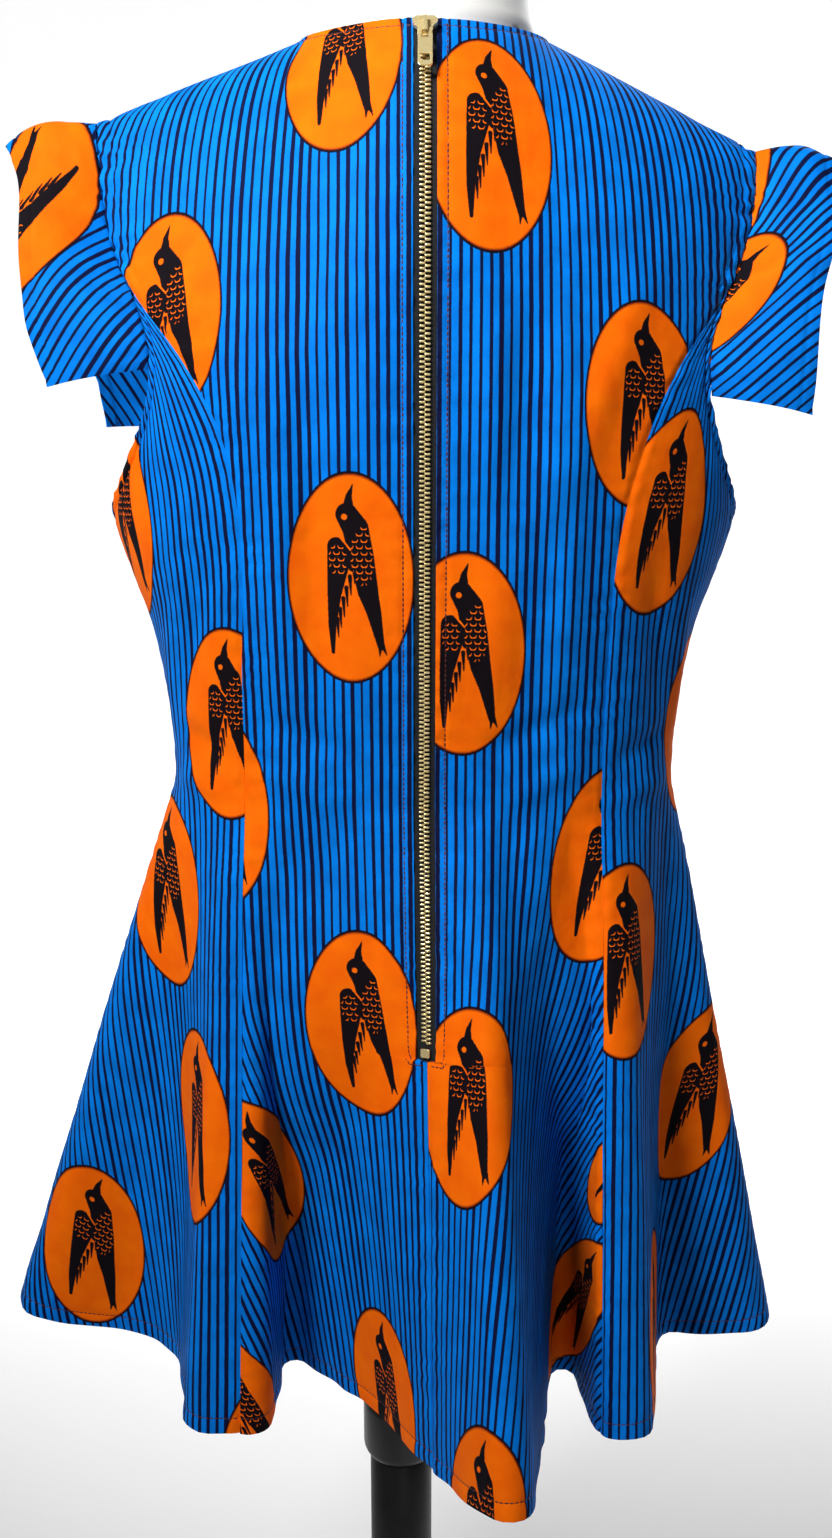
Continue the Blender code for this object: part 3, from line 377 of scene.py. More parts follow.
def edge_turn(front, side, z):
    """Signed turn of a middle panel's outer edge at height z."""
    rows = FRONT_EDGE if front else BACK_EDGE
    reach = table(rows, z, LEFT_EDGE if side < 0 else RIGHT_EDGE)
    return side * turn_of(reach, table(SECTIONS, z, HALF_WIDTH))


def panel_turn(panel, s, z):
    """Signed turn at the share s of the way across a panel, at height z."""
    name, front, side = PANELS[panel]
    if name == "back_centre_right":
        start, end = 0.0, edge_turn(False, 1, z)
    elif name == "back_centre_left":
        start, end = edge_turn(False, -1, z), 0.0
    elif name == "front_centre":
        start, end = edge_turn(True, 1, z), edge_turn(True, -1, z)
    else:
        seam = edge_turn(front, side, z)
        flank = side * math.pi / 2
        start, end = (seam, flank) if front == (side < 0) else (flank, seam)
    return start + (end - start) * s


def hold_out(x, y, z):
    """Pushes a skirt point out to the hips where a valley would fall inside them."""
    reach = np.hypot(x, y)
    cos, sin = np.abs(x) / reach, np.abs(y) / reach
    depth = np.where(y > 0, table(HIP_FLOOR, z, FRONT_DEPTH), table(HIP_FLOOR, z, BACK_DEPTH))
    width = table(HIP_FLOOR, z, HALF_WIDTH)
    floor = ((cos / width) ** OVAL_POWER + (sin / depth) ** OVAL_POWER) ** (-1 / OVAL_POWER)
    soft = HIP_SOFTNESS * np.clip((WAIST_Z - z) / HIP_EASE, 0, 1)
    held = (reach + floor + np.sqrt((reach - floor) ** 2 + soft ** 2)) / 2
    return x * held / reach, y * held / reach


def skirt(panel, s, down):
    """Point of the skirt at the share s across a panel and the share down from waist to hem."""
    waist = bodice(panel_turn(panel, s, WAIST_Z), PANELS[panel][1], WAIST_Z)
    hem_x, hem_y = hem_point(panel, s)
    lean = np.hypot(hem_x - waist[..., 0], hem_y - waist[..., 1])
    z = WAIST_Z - down * np.sqrt(SKIRT_LENGTH ** 2 - lean ** 2)
    x = waist[..., 0] + (hem_x - waist[..., 0]) * down
    y = waist[..., 1] + (hem_y - waist[..., 1]) * down
    x, y = hold_out(x, y, z)
    return np.stack([x, y, z], axis=-1)


def front_neck_z(x):
    """Front neckline: a quarter round from the side of the neck down to the middle."""
    share = np.clip(np.abs(x) / NECK_HALF_WIDTH, 0, 1)
    return NECK_FRONT_Z + (NECK_SIDE_Z - NECK_FRONT_Z) * (1 - np.sqrt(1 - share ** 2))


def outward_share(panel, s):
    """Share of the way from a side panel's princess seam to its side seam."""
    front, side = PANELS[panel][1:]
    return s if front == (side < 0) else 1 - s


def top_z(panel, s):
    """Height of a panel's top edge at the share s across it."""
    name, front, side = PANELS[panel]
    if name not in CENTRES:
        corner = FRONT_CORNER_Z if front else BACK_CORNER_Z
        return UNDERARM_Z + (corner - UNDERARM_Z) * (1 - outward_share(panel, s)) ** ARMHOLE_DROP_POWER
    z = np.full_like(s, NECK_SIDE_Z - TOP_SEARCH_DROP)
    for _ in range(TOP_SEARCH_STEPS):
        x = bodice(panel_turn(panel, s, z), front, z)[..., 0]
        neck = front_neck_z(x) if front else NECK_BACK_Z
        edge = np.where(np.abs(x) < NECK_HALF_WIDTH, neck, shoulder_z(x) - RIDGE_DROP)
        z = (z + edge) / 2
    return z


def row_curves(panel, fine):
    """Rows of a panel from hem to top edge over the fine shares, and the skirt rows' shares down.

    The two backs have a pair of close rows at the zip's end, where the opening is cut square.
    """
    name, front, side = PANELS[panel]
    downs = np.linspace(1, 0, SKIRT_ROWS + 1)
    if name.startswith("back_centre"):
        pair = (ZIP_END_FRACTION - ZIP_END_STEP, ZIP_END_FRACTION + ZIP_END_STEP)
        downs = np.sort(np.concatenate([downs, pair]))[::-1]
    rows = [skirt(panel, fine, down) for down in downs]
    top = top_z(panel, fine)
    if name in CENTRES:
        low = np.full_like(fine, BUST_LINE_Z)
        corner = FRONT_CORNER_Z if front else BACK_CORNER_Z
    else:
        low = BUST_LINE_Z + (SIDE_LOW_Z - BUST_LINE_Z) * outward_share(panel, fine)
        corner = top
    heights = [WAIST_Z + (low - WAIST_Z) * k / LOWER_ROWS for k in range(1, LOWER_ROWS + 1)]
    heights += [low + (corner - low) * k / UPPER_ROWS for k in range(1, UPPER_ROWS + 1)]
    if name in CENTRES:
        shares = 1 - (1 - np.arange(1, SHOULDER_ROWS + 1) / SHOULDER_ROWS) ** SHOULDER_ROW_POWER
        heights += [corner + (top - corner) * share for share in shares]
    rows += [bodice(panel_turn(panel, fine, z), front, z) for z in heights]
    return np.array(rows), downs


def stations(length, near, far, count):
    """Places along a line: the edge stations at both ends and even steps between them."""
    middle = np.linspace(near[-1], length - far[-1], count)[1:-1]
    return np.concatenate([near, middle, length - np.array(far)[::-1]])


def resample(grid, fields, near, far, count, kept):
    """Every column of a grid read again at its stations and kept rows by length, with its fields."""
    length = lengths(grid)
    columns, read = [], {key: [] for key in fields}
    for c in range(grid.shape[1]):
        at = np.sort(np.concatenate([stations(length[-1, c], near, far, count), length[kept, c]]))
        columns.append(read_points(at, length[:, c], grid[:, c]))
        for key, values in fields.items():
            read[key].append(np.interp(at, length[:, c], values[:, c]))
    return np.stack(columns, axis=1), {key: np.stack(values, axis=1) for key, values in read.items()}


def outward_normals(grid):
    """Unit normals of a grid of points, rows upwards and columns round by the wearer's right."""
    return unit(np.cross(np.gradient(grid, axis=1), np.gradient(grid, axis=0)))


def panel_grid(panel):
    """Fine grid of a panel with its cloth coordinates.

    The fields are: out, the length along the row from the panel's grain line, down, the length
    along the column from the waist, share, the row's share of the skirt's length, and the
    distances to the two side edges, the hem and the top.
    The grain line is the back seam, the front's middle, or a side panel's princess seam.
    """
    name = PANELS[panel][0]
    fine = np.linspace(0, 1, FINE_STEPS + 1)
    curves, downs = row_curves(panel, fine)
    waist_row = len(downs) - 1
    below_zip = np.count_nonzero(downs > ZIP_END_FRACTION)
    opening = name.startswith("back_centre")
    rows, outs, nears, fars = [], [], [], []
    waist_width = lengths(curves[waist_row])[-1]
    count = max(FEWEST_COLUMNS, round(waist_width * COLUMNS_FOR_FLARE / CLOTH_STEP))
    for r, curve in enumerate(curves):
        length = lengths(curve)
        gap = ZIP_HALF_OPENING if opening and r >= below_zip else SEAM_GAP / 2
        start = gap if name == "back_centre_right" else SEAM_GAP / 2
        end = gap if name == "back_centre_left" else SEAM_GAP / 2
        inside = length[-1] - start - end
        at = start + stations(inside, EDGE_STATIONS, EDGE_STATIONS, count)
        rows.append(read_points(at, length, curve))
        nears.append(at - start)
        fars.append(start + inside - at)
        if name in ("back_centre_right", "back_side_right", "front_side_left"):
            outs.append(at)
        elif name == "front_centre":
            outs.append(at - np.interp(0.5, fine, length))
        else:
            outs.append(at - length[-1])
    grid = np.array(rows)
    down = lengths(grid)
    down = down[waist_row] - down
    above_waist = -np.arange(1, len(curves) - waist_row) / ROWS_PER_SHARE
    fields = {
        "out": np.array(outs),
        "down": down,
        "share": np.concatenate([downs, above_waist])[:, None] + 0 * down,
        "near": np.array(nears),
        "far": np.array(fars),
    }
    kept = [below_zip - 1, below_zip] if opening else []
    grid, fields = resample(grid, fields, HEM_STATIONS, EDGE_STATIONS, len(grid), kept)
    run = lengths(grid)
    fields["hem"] = run
    fields["top"] = run[-1] - run
    return grid, fields


def bump(distance, width):
    """Soft hump of height one over the distance from its middle."""
    return np.exp(-(distance / width) ** 2)


# Unevenness of a wave: how far its crests wander and swell, and how often against its own pitch
WANDER = 1.1
WANDER_RATE = 0.37
SWELL = 0.35
SWELL_RATE = 0.21


def waver(along, pitch, phase):
    """Uneven wave along an edge, from minus one to one."""
    turn = 2 * math.pi * along / pitch
    wander = WANDER * np.sin(WANDER_RATE * turn + 2 * phase)
    return np.sin(turn + phase + wander) * (1 - SWELL + SWELL * np.sin(SWELL_RATE * turn + phase))


# Depths and widths of the small folds at seams and edges
SEAM_DIP = 0.0010
SEAM_DIP_WIDTH = 0.0024
PUCKER_HEIGHT = 0.00085
PUCKER_PITCH = 0.0125
PUCKER_REACH = 0.011
STITCH_DIP = 0.00050
STITCH_DIP_WIDTH = 0.0011
EDGE_ROLL = 0.00022
EDGE_ROLL_WIDTH = 0.0006
ARMHOLE_PUCKER_HEIGHT = 0.0014
ARMHOLE_PUCKER_PITCH = 0.0105
ARMHOLE_PUCKER_REACH = 0.017
ARMHOLE_BAND = 0.0075
ARMHOLE_BAND_DIP = 0.0011
ARMHOLE_BAND_WIDTH = 0.0018
HEM_WAVER = 0.0009
HEM_WAVER_PITCH = 0.034
HEM_WAVER_REACH = 0.016
HEM_WAVER_PHASE = 2.1

# Beside the zip: ripples of the turning, and the puckers' height there against other seams
ZIP_RIPPLE = 0.00042
ZIP_RIPPLE_PITCH = 0.0088
ZIP_RIPPLE_POWER = 0.5
ZIP_PUCKER_SHARE = 0.8

# Shares of the full height where the folds are shallower
SHOULDER_DIP_SHARE = 0.6
UNDERARM_GATHER_SHARE = 0.6

# Steps of phase from panel to panel and from edge to edge, so that no two edges match
PANEL_PHASE = 1.7
EDGE_PHASE = 0.9

# How far a sewn seam runs on over the armhole's corner, and a turned neck past its stitching
CORNER_EASE = 0.002
NECK_TURN_EASE = 0.001

# Broad soft undulation of the cloth: heights, and waves in radians a metre
SKIRT_SWELL = 0.0005
BODICE_SWELL = 0.00025
SWELL_ACROSS = 95
SWELL_BEND = 3
SWELL_BEND_DOWN = 11
SWELL_DOWN = 23

# Creases: strength, how they fade towards their ends, and where they fade beside a seam
CREASE_STRENGTH = 1.35
CREASE_END_POWER = 0.7
CREASE_SEAM_FADE = 0.006

# Soft creases, in millimetres: from out, down, to out, down, half-width, height
CREASES = {
    "back_centre_right": (
        (118, -300, 62, -150, 12, 2.2), (96, -60, 30, -30, 7, -1.8), (92, -28, 34, 4, 8, 1.7),
        (54, -266, 48, -160, 9, -1.3), (36, -262, 32, -170, 9, 1.5), (72, -264, 66, -160, 10, 1.7),
        (66, -150, 54, -20, 11, -1.4), (40, -150, 36, -40, 10, 1.3), (82, -210, 74, -60, 9, 1.6),
        (16, 20, 30, 130, 7, 1.4), (30, -350, 62, -240, 13, -1.6), (42, -20, 60, 90, 11, -1.6),
        (128, -200, 104, -110, 8, -1.5),
    ),
    "back_centre_left": (
        (-122, -300, -66, -150, 12, 2.2), (-94, -52, -34, -28, 7, -1.7), (-92, -24, -38, 4, 8, 1.6),
        (-64, -244, -52, -26, 12, -2.2), (-80, -190, -76, -60, 9, 1.5), (-14, 24, -26, 128, 7, 1.3),
        (-34, -350, -66, -246, 13, -1.6), (-42, -16, -62, 96, 11, -1.6), (-120, -200, -104, -100, 8, -1.5),
    ),
    "back_side_right": (
        (4, -22, 52, -36, 6, -1.5), (6, 0, 56, -8, 8, 1.5), (24, -150, 42, -50, 10, -1.8),
        (60, -120, 66, -30, 9, 1.4),
    ),
    "back_side_left": (
        (-4, -24, -50, -38, 6, -1.5), (-6, -2, -54, -10, 8, 1.5), (-26, -150, -40, -50, 10, -1.8),
        (-60, -110, -64, -24, 9, 1.4),
    ),
    "front_side_right": (
        (-4, -20, -50, -34, 6, -1.5), (-6, 0, -52, -8, 8, 1.5), (-40, -140, -44, -50, 10, -1.6),
    ),
    "front_side_left": (
        (4, -20, 50, -34, 6, -1.5), (6, 0, 52, -8, 8, 1.5), (40, -140, 44, -50, 10, -1.6),
    ),
    "front_centre": (
        (-84, -40, -16, -22, 8, -1.8), (84, -36, 20, -20, 8, -1.8), (-60, -10, 60, -6, 9, 1.4),
        (-70, -150, -44, -60, 12, -1.8), (72, -146, 46, -58, 12, -1.8), (-40, 20, -60, 130, 12, -1.6),
        (44, 20, 60, 130, 12, -1.6), (-104, -250, -84, -170, 10, 1.6), (104, -250, 86, -170, 10, 1.6),
    ),
}

# The side edges of the two backs that lie beside the zip
ZIP_EDGES = (("back_centre_right", "near"), ("back_centre_left", "far"))


def crease_height(creases, out, down):
    """Sum of the listed creases: each a soft ridge or trough along a line, fading at its ends."""
    total = np.zeros_like(out)
    for out_a, down_a, out_b, down_b, width, height in np.array(creases) / 1000:
        way = np.array([out_b - out_a, down_b - down_a])
        share = np.clip(((out - out_a) * way[0] + (down - down_a) * way[1]) / (way @ way), 0, 1)
        away = np.hypot(out - out_a - way[0] * share, down - down_a - way[1] * share)
        total += CREASE_STRENGTH * height * bump(away, width) * np.sin(math.pi * share) ** CREASE_END_POWER
    return total


def stitch_dip(distance):
    """Depth of the groove that a row of stitches draws into the cloth."""
    return STITCH_DIP * bump(distance, STITCH_DIP_WIDTH)


def edge_roll(distance):
    """Depth by which a turned edge rounds off."""
    return EDGE_ROLL * np.exp(-distance / EDGE_ROLL_WIDTH)


def puckers(distance, along, phase):
    """Height of the puckers beside a sewn seam."""
    return PUCKER_HEIGHT * np.exp(-distance / PUCKER_REACH) * waver(along, PUCKER_PITCH, phase)


def gathers(distance, along, phase):
    """Height of the gathers along the armhole."""
    reach = np.exp(-distance / ARMHOLE_PUCKER_REACH)
    return ARMHOLE_PUCKER_HEIGHT * reach * waver(along, ARMHOLE_PUCKER_PITCH, phase)


def armhole_band(distance):
    """Depth of the line where the turning inside the armhole ends."""
    return ARMHOLE_BAND_DIP * bump(distance - ARMHOLE_BAND, ARMHOLE_BAND_WIDTH)


def zip_edge_folds(edge, down, share, phase):
    """Folds of a back's edge: a stitched and rippled turning beside the zip, a plain seam below it."""
    opened = share < ZIP_END_FRACTION
    strip = np.clip(1 - edge / ZIP_STITCH, 0, 1) ** ZIP_RIPPLE_POWER
    ripple = ZIP_RIPPLE * strip * waver(down + edge, ZIP_RIPPLE_PITCH, phase)
    turning = ripple - stitch_dip(edge - ZIP_STITCH) - edge_roll(edge)
    dip = bump(edge, SEAM_DIP_WIDTH)
    puckered = ZIP_PUCKER_SHARE * puckers(edge, down, phase)
    return np.where(opened, turning + puckered, (1 - dip) * puckered - SEAM_DIP * dip)


def side_edge_folds(edge, down, sewn, phase):
    """Folds of a side edge: a puckered seam where it is sewn, gathers and a band at the armhole."""
    dip = bump(edge, SEAM_DIP_WIDTH)
    seam = (1 - dip) * puckers(edge, down, phase) - SEAM_DIP * dip
    armhole = gathers(edge, down, phase) - edge_roll(edge) - armhole_band(edge)
    return sewn * seam + (1 - sewn) * armhole


def small_folds(panel, grid, fields):
    """Height of a panel's small folds over its plain surface, and the cloth's thickness."""
    name, front, side = PANELS[panel]
    out, down, hem, top = (fields[key] for key in ("out", "down", "hem", "top"))
    centre = name in CENTRES
    corner = FRONT_CORNER_Z if front else BACK_CORNER_Z
    sewn = (grid[..., 2] < corner + CORNER_EASE).astype(float) if centre else np.ones_like(out)
    in_neck = centre & (np.abs(grid[-1:, :, 0]) < NECK_HALF_WIDTH)
    height = np.zeros_like(out)
    for i, key in enumerate(("near", "far")):
        phase = PANEL_PHASE * panel + EDGE_PHASE * i
        if (name, key) in ZIP_EDGES:
            height += zip_edge_folds(fields[key], down, fields["share"], phase)
        else:
            height += side_edge_folds(fields[key], down, sewn, phase)
    if centre:
        height -= in_neck * (stitch_dip(top - NECK_STITCH) + edge_roll(top))
        height -= ~in_neck * SEAM_DIP * SHOULDER_DIP_SHARE * bump(top, SEAM_DIP_WIDTH)
    else:
        height += UNDERARM_GATHER_SHARE * gathers(top, out, panel) - edge_roll(top) - armhole_band(top)
    height -= stitch_dip(hem - HEM_STITCH) + edge_roll(hem)
    hem_wave = waver(out, HEM_WAVER_PITCH, HEM_WAVER_PHASE * panel)
    height += HEM_WAVER * np.exp(-hem / HEM_WAVER_REACH) * hem_wave
    beside_seam = np.clip(np.minimum(fields["near"], fields["far"]) / CREASE_SEAM_FADE, 0, 1)
    height += crease_height(CREASES[name], out, down) * beside_seam
    broad = np.sin(out * SWELL_ACROSS + SWELL_BEND * np.sin(down * SWELL_BEND_DOWN + panel))
    height += np.where(down > 0, SKIRT_SWELL, BODICE_SWELL) * broad * np.sin(down * SWELL_DOWN + 2 * panel)
    turned_in = (hem < HEM_TURN) | (in_neck & (top < NECK_STITCH + NECK_TURN_EASE))
    return height, np.where(turned_in, TURNED_CLOTH, CLOTH)


def quads(index):
    """Corner numbers of every cell of an index grid, anticlockwise seen from outside."""
    cells = [index[:-1, :-1], index[:-1, 1:], index[1:, 1:], index[1:, :-1]]
    return np.stack(cells, axis=-1).reshape(-1, 4)


def rim_loop(index):
    """Corner numbers round the border of an index grid."""
    return np.concatenate([index[0], index[1:, -1], index[-1, -2::-1], index[-2:0:-1, 0]])


def tube_faces(rings, sides):
    """Faces of a stack of closed rings, with a plain cap at each end."""
    index = np.arange(rings * sides).reshape(rings, sides)
    closed = np.concatenate([index, index[:, :1]], axis=1)
    return [tuple(face) for face in quads(closed)] + [tuple(index[0][::-1]), tuple(index[-1])]


def add_mesh(name, points, faces, material, maps=None, sharp=50):
    """Makes one piece from points, faces and corner maps, smooth but for edges sharper than given."""
    mesh = bpy.data.meshes.new(name)
    faces = [tuple(map(int, face)) for face in faces]
    mesh.from_pydata(np.asarray(points, dtype=float).tolist(), [], faces)
    for key, corners in (maps or {}).items():
        layer = mesh.uv_layers.new(name=key)
        layer.data.foreach_set("uv", np.asarray(corners, dtype=np.float32).ravel())
    mesh.materials.append(material)
    mesh.shade_smooth()
    mesh.set_sharp_from_angle(angle=math.radians(sharp))
    piece = bpy.data.objects.new(name, mesh)
    bpy.context.scene.collection.objects.link(piece)
    return piece


def oval_map(out, down, faces, ovals):
    """Each face's corners in the frame of the nearest oval: right and up, in decimetres."""
    corners = np.stack([out.ravel()[faces], down.ravel()[faces]], axis=-1)
    middle = corners.mean(axis=1)
    places = np.array([row[:2] for row in ovals], dtype=float) / 1000
    turns = np.radians([row[2] if len(row) > 2 else 0.0 for row in ovals])
    reach = (middle[:, None] - places[None]) / (OVAL_HALF_WIDTH, OVAL_HALF_HEIGHT)
    nearest = np.argmin((reach ** 2).sum(axis=-1), axis=1)
    local = (corners - places[nearest][:, None]) * (OVAL_MAP_SCALE, -OVAL_MAP_SCALE)
    cos, sin = np.cos(turns[nearest])[:, None], np.sin(turns[nearest])[:, None]
    right = local[..., 0] * cos - local[..., 1] * sin
    up = local[..., 0] * sin + local[..., 1] * cos
    return np.stack([right, up], axis=-1).reshape(-1, 2)


def cloth_piece(name, grid, normals, height, thickness, out, down, ovals, material):
    """Closed thin cloth: the surface with its folds, the same moved inwards, and the rim between."""
    outer = grid + height[..., None] * normals
    inner = outer - thickness[..., None] * normals
    rows, columns = grid.shape[:2]
    index = np.arange(rows * columns).reshape(rows, columns)
    count = rows * columns
    rim = rim_loop(index)
    after = np.roll(rim, -1)
    front = quads(index)
    edge = np.stack([after, rim, rim + count, after + count], axis=-1)
    faces = np.concatenate([front, front[:, ::-1] + count, edge])
    points = np.concatenate([outer.reshape(-1, 3), inner.reshape(-1, 3)])
    points[:, 0] += BODY_X
    grain = np.stack([out.ravel(), -down.ravel()], axis=-1)[faces % count].reshape(-1, 2)
    local = oval_map(out, down, faces % count, ovals)
    return add_mesh(name, points, faces, material, {"grain": grain, "oval": local})


class Value:
    """A shader socket with the operators of plain arithmetic, each adding its Math node."""

    def __init__(self, tree, socket):
        self.tree = tree
        self.socket = socket

    def math(self, operation, *others, clamp=False):
        node = self.tree.nodes.new("ShaderNodeMath")
        node.operation = operation
        node.use_clamp = clamp
        for i, item in enumerate((self,) + others):
            if isinstance(item, Value):
                self.tree.links.new(item.socket, node.inputs[i])
            else:
                node.inputs[i].default_value = item
        return Value(self.tree, node.outputs[0])

    def __add__(self, other):
        return self.math("ADD", other)

    def __sub__(self, other):
        return self.math("SUBTRACT", other)

    def __rsub__(self, other):
        return (self * -1) + other

    def __mul__(self, other):
        return self.math("MULTIPLY", other)

    def __truediv__(self, other):
        return self.math("DIVIDE", other)

    def sqrt(self):
        return self.math("SQRT")

    def abs(self):
        return self.math("ABSOLUTE")

    def least(self, other):
        return self.math("MINIMUM", other)

    def most(self, other):
        return self.math("MAXIMUM", other)

    def fraction(self):
        return self.math("FRACT")

    def floor(self):
        return self.math("FLOOR")

    def wave(self):
        return self.math("SINE")

    def clamp(self):
        return self.math("ADD", 0.0, clamp=True)

    def ramp(self, low, high):
        """Share of the way from low to high, held between 0 and 1."""
        return self.math("MULTIPLY_ADD", 1 / (high - low), -low / (high - low), clamp=True)


class Shader:
    """One material's node tree, with a single method that adds any node."""

    def __init__(self, name, colour, roughness, metallic=0.0):
        self.material = bpy.data.materials.new(name)
        self.material.use_nodes = True
        self.tree = self.material.node_tree
        self.surface = self.tree.nodes["Principled BSDF"]
        self.surface.inputs["Base Color"].default_value = (*colour, 1.0)
        self.surface.inputs["Roughness"].default_value = roughness
        self.surface.inputs["Metallic"].default_value = metallic
        self.material.diffuse_color = (*colour, 1.0)

    def node(self, kind, output=0, settings=None, **inputs):
        """Adds a node, sets its settings and then its sockets by name, and returns one output."""
        node = self.tree.nodes.new(kind)
        for key, value in (settings or {}).items():
            setattr(node, key, value)
        for key, value in inputs.items():
            self.join(value, node.inputs[key.replace("_", " ")])
        return Value(self.tree, node.outputs[output])

    def join(self, value, socket):
        """Links a value to a socket, or sets the socket's own number."""
        if isinstance(value, Value):
            self.tree.links.new(value.socket, socket)
        else:
            socket.default_value = value

    def set(self, **inputs):
        """Links or sets the surface's own sockets."""
        for key, value in inputs.items():
            self.join(value, self.surface.inputs[key.replace("_", " ")])

    def mix(self, factor, first, second):
        """Colour between two colours."""
        node = self.tree.nodes.new("ShaderNodeMix")
        node.data_type = "RGBA"
        self.join(factor, node.inputs[0])
        for value, socket in ((first, node.inputs[6]), (second, node.inputs[7])):
            self.join(value if isinstance(value, Value) else (*value, 1.0), socket)
        return Value(self.tree, node.outputs[2])

    def noise(self, vector, scale, detail=3.0, roughness=0.5):
        """Smooth noise from 0 to 1."""
        return self.node("ShaderNodeTexNoise", Vector=vector, Scale=scale, Detail=detail,
                         Roughness=roughness)

    def place(self):
        """Object coordinates, in metres."""
        return self.node("ShaderNodeTexCoord", output=3)

    def split(self, vector):
        """The three coordinates of a vector."""
        parts = self.tree.nodes.new("ShaderNodeSeparateXYZ")
        self.join(vector, parts.inputs[0])
        return [Value(self.tree, output) for output in parts.outputs]

    def vector(self, operation, first, second, output=0):
        """Vector arithmetic on two vectors, or on a vector and the number that scales it."""
        node = self.tree.nodes.new("ShaderNodeVectorMath")
        node.operation = operation
        self.join(first, node.inputs[0])
        self.join(second, node.inputs["Scale" if operation == "SCALE" else 1])
        return Value(self.tree, node.outputs[output])

    def map(self, name):
        """One of the piece's own maps, and its two coordinates."""
        vector = self.node("ShaderNodeUVMap", settings={"uv_map": name})
        across, along, _ = self.split(vector)
        return vector, across, along

    def bump(self, height, distance, strength=1.0):
        """Normal from a height between 0 and 1 that stands the distance in metres."""
        normal = self.node("ShaderNodeBump", Strength=strength, Distance=distance, Height=height)
        self.set(Normal=normal)


# Print colours, linear
AZURE = (0.0, 0.215, 0.83)
AZURE_DEEP = (0.0, 0.165, 0.66)
NAVY = (0.004, 0.006, 0.040)
ORANGE = (1.0, 0.168, 0.001)
ORANGE_DEEP = (0.93, 0.128, 0.001)
RUST = (0.16, 0.010, 0.004)
INK = (0.006, 0.004, 0.006)

# Print edges, in millimetres out from the oval's edge, and in shares of a stripe's pitch
OVAL_MEAN_HALF = 42
DRIFT_OF_STRIPES = (0.05, 0.10)
RUST_RIM = (-0.9, 0.3)
INK_RIM = (-0.1, 0.6)
OVAL_EDGE = (1.5, 1.1)
STRIPE_EDGE = 0.03
SWALLOW_EDGE = 0.22
SLIT_EDGE = (-0.15, 0.2)
EYE_EDGE = (-0.2, 0.2)
INK_BLEED = (0.5, 0.4)

# Two large factors that scatter the stripes' widths by chance
CHANCE_TURN = 12.9898
CHANCE_SPREAD = 43758.5

# Cloth relief: pitch of the weave across and along, each layer's share of the height, and the height
WEAVE_PITCH = (0.00042, 0.00046)
WEAVE_RELIEF = 0.06
CRUMPLE_RELIEF = 0.40
SOFT_RELIEF = 1.0
FOLD_RELIEF = 2.4
RELIEF_HEIGHT = 0.0011
RELIEF_STRENGTH = 0.60

# Pitches of the zip tape's ribs and of its yarns across
TAPE_RIB_PITCH = 0.00055
TAPE_YARN_PITCH = 0.0007

# The other finishes' colours, each with its darker and lighter parts
TAPE_BLACK, TAPE_DEEP, TAPE_FUZZ = (0.004, 0.004, 0.005), (0.002, 0.002, 0.003), (0.008, 0.008, 0.010)
BRASS, BRASS_BRIGHT, BRASS_DULL = (1.0, 0.80, 0.38), (1.0, 0.83, 0.44), (0.92, 0.70, 0.30)
THREAD_RED = (0.085, 0.004, 0.003)
THREAD_SHADE = 0.55
FORM, FORM_LIGHT, FORM_SHADE = (0.80, 0.79, 0.77), (0.82, 0.81, 0.79), (0.76, 0.75, 0.725)
STAND, STAND_DEEP, STAND_WORN = (0.012, 0.012, 0.013), (0.010, 0.010, 0.011), (0.026, 0.026, 0.028)
FLOOR, FLOOR_SHADE = (0.86, 0.86, 0.86), (0.84, 0.84, 0.84)
FLOOR_GLOW = 0.75
FLOOR_GLOW_REACH = (0.3, 1.3)

# The swallow in the oval, in millimetres from its middle: start, end, half-width at each
SWALLOW = (
    ((-1.6, 34.4), (3.0, 27.0), 6.0, 7.0),
    ((-0.6, 40.0), (-0.3, 44.0), 2.6, 1.7),
    ((-0.3, 44.0), (1.8, 49.8), 1.7, 0.3),
    ((3.0, 27.0), (6.0, 12.0), 7.0, 6.6),
    ((6.0, 12.0), (9.2, -6.0), 6.6, 5.5),
    ((9.2, -6.0), (12.2, -17.0), 5.5, 4.0),
    ((12.2, -17.0), (16.0, -36.0), 4.0, 1.9),
    ((15.6, -35.0), (15.2, -41.0), 1.4, 0.3),
    ((16.6, -35.0), (18.9, -40.4), 1.4, 0.3),
    ((-7.4, 17.6), (-6.6, 8.0), 5.0, 6.1),
    ((-6.6, 8.0), (-9.0, -8.0), 6.1, 3.9),
    ((-9.0, -8.0), (-10.4, -25.0), 3.9, 2.3),
    ((-10.4, -25.0), (-10.2, -39.5), 2.3, 1.0),
    ((-2.0, 15.0), (1.4, 7.0), 4.4, 2.6),
)

# The hanging feathers: each one's tip, and the way from it to the root with the half-widths there
FEATHER_TIPS = ((2.2, -1.6), (0.2, -8.0), (-1.8, -14.0), (-3.6, -19.8), (-5.4, -25.6), (-7.0, -31.0))
FEATHER = (-0.5, 10.0, 1.25, 0.35)

# Parts left in the oval's colour, drawn as the strokes are
SWALLOW_SLIT = ((-5.2, 22.5), (0.2, 16.0), 0.45, 0.40)
SWALLOW_EYE = ((-3.0, 33.2), (-2.9, 33.1), 1.5, 1.5)

# Feather scales: size of a cell, the disc's middle up its cell, its soft radius, and the cut from it
SCALE_CELL = (4.9, 3.3)
SCALE_MIDDLE = 0.42
SCALE_DISC = (1.85, 1.60)
SCALE_CUT = (1.55, 1.80)
SCALE_CUT_LIFT = 0.75
SCALE_PATCH_EDGE = (1.05, 0.95)
SCALE_INSET = (-0.4, -0.8)

# Where the scales lie on the bird: middle and half-sizes of each patch
SCALE_PATCHES = (((6.8, 12.5), (6.6, 15.5)), ((-6.8, 10.5), (5.0, 8.6)))


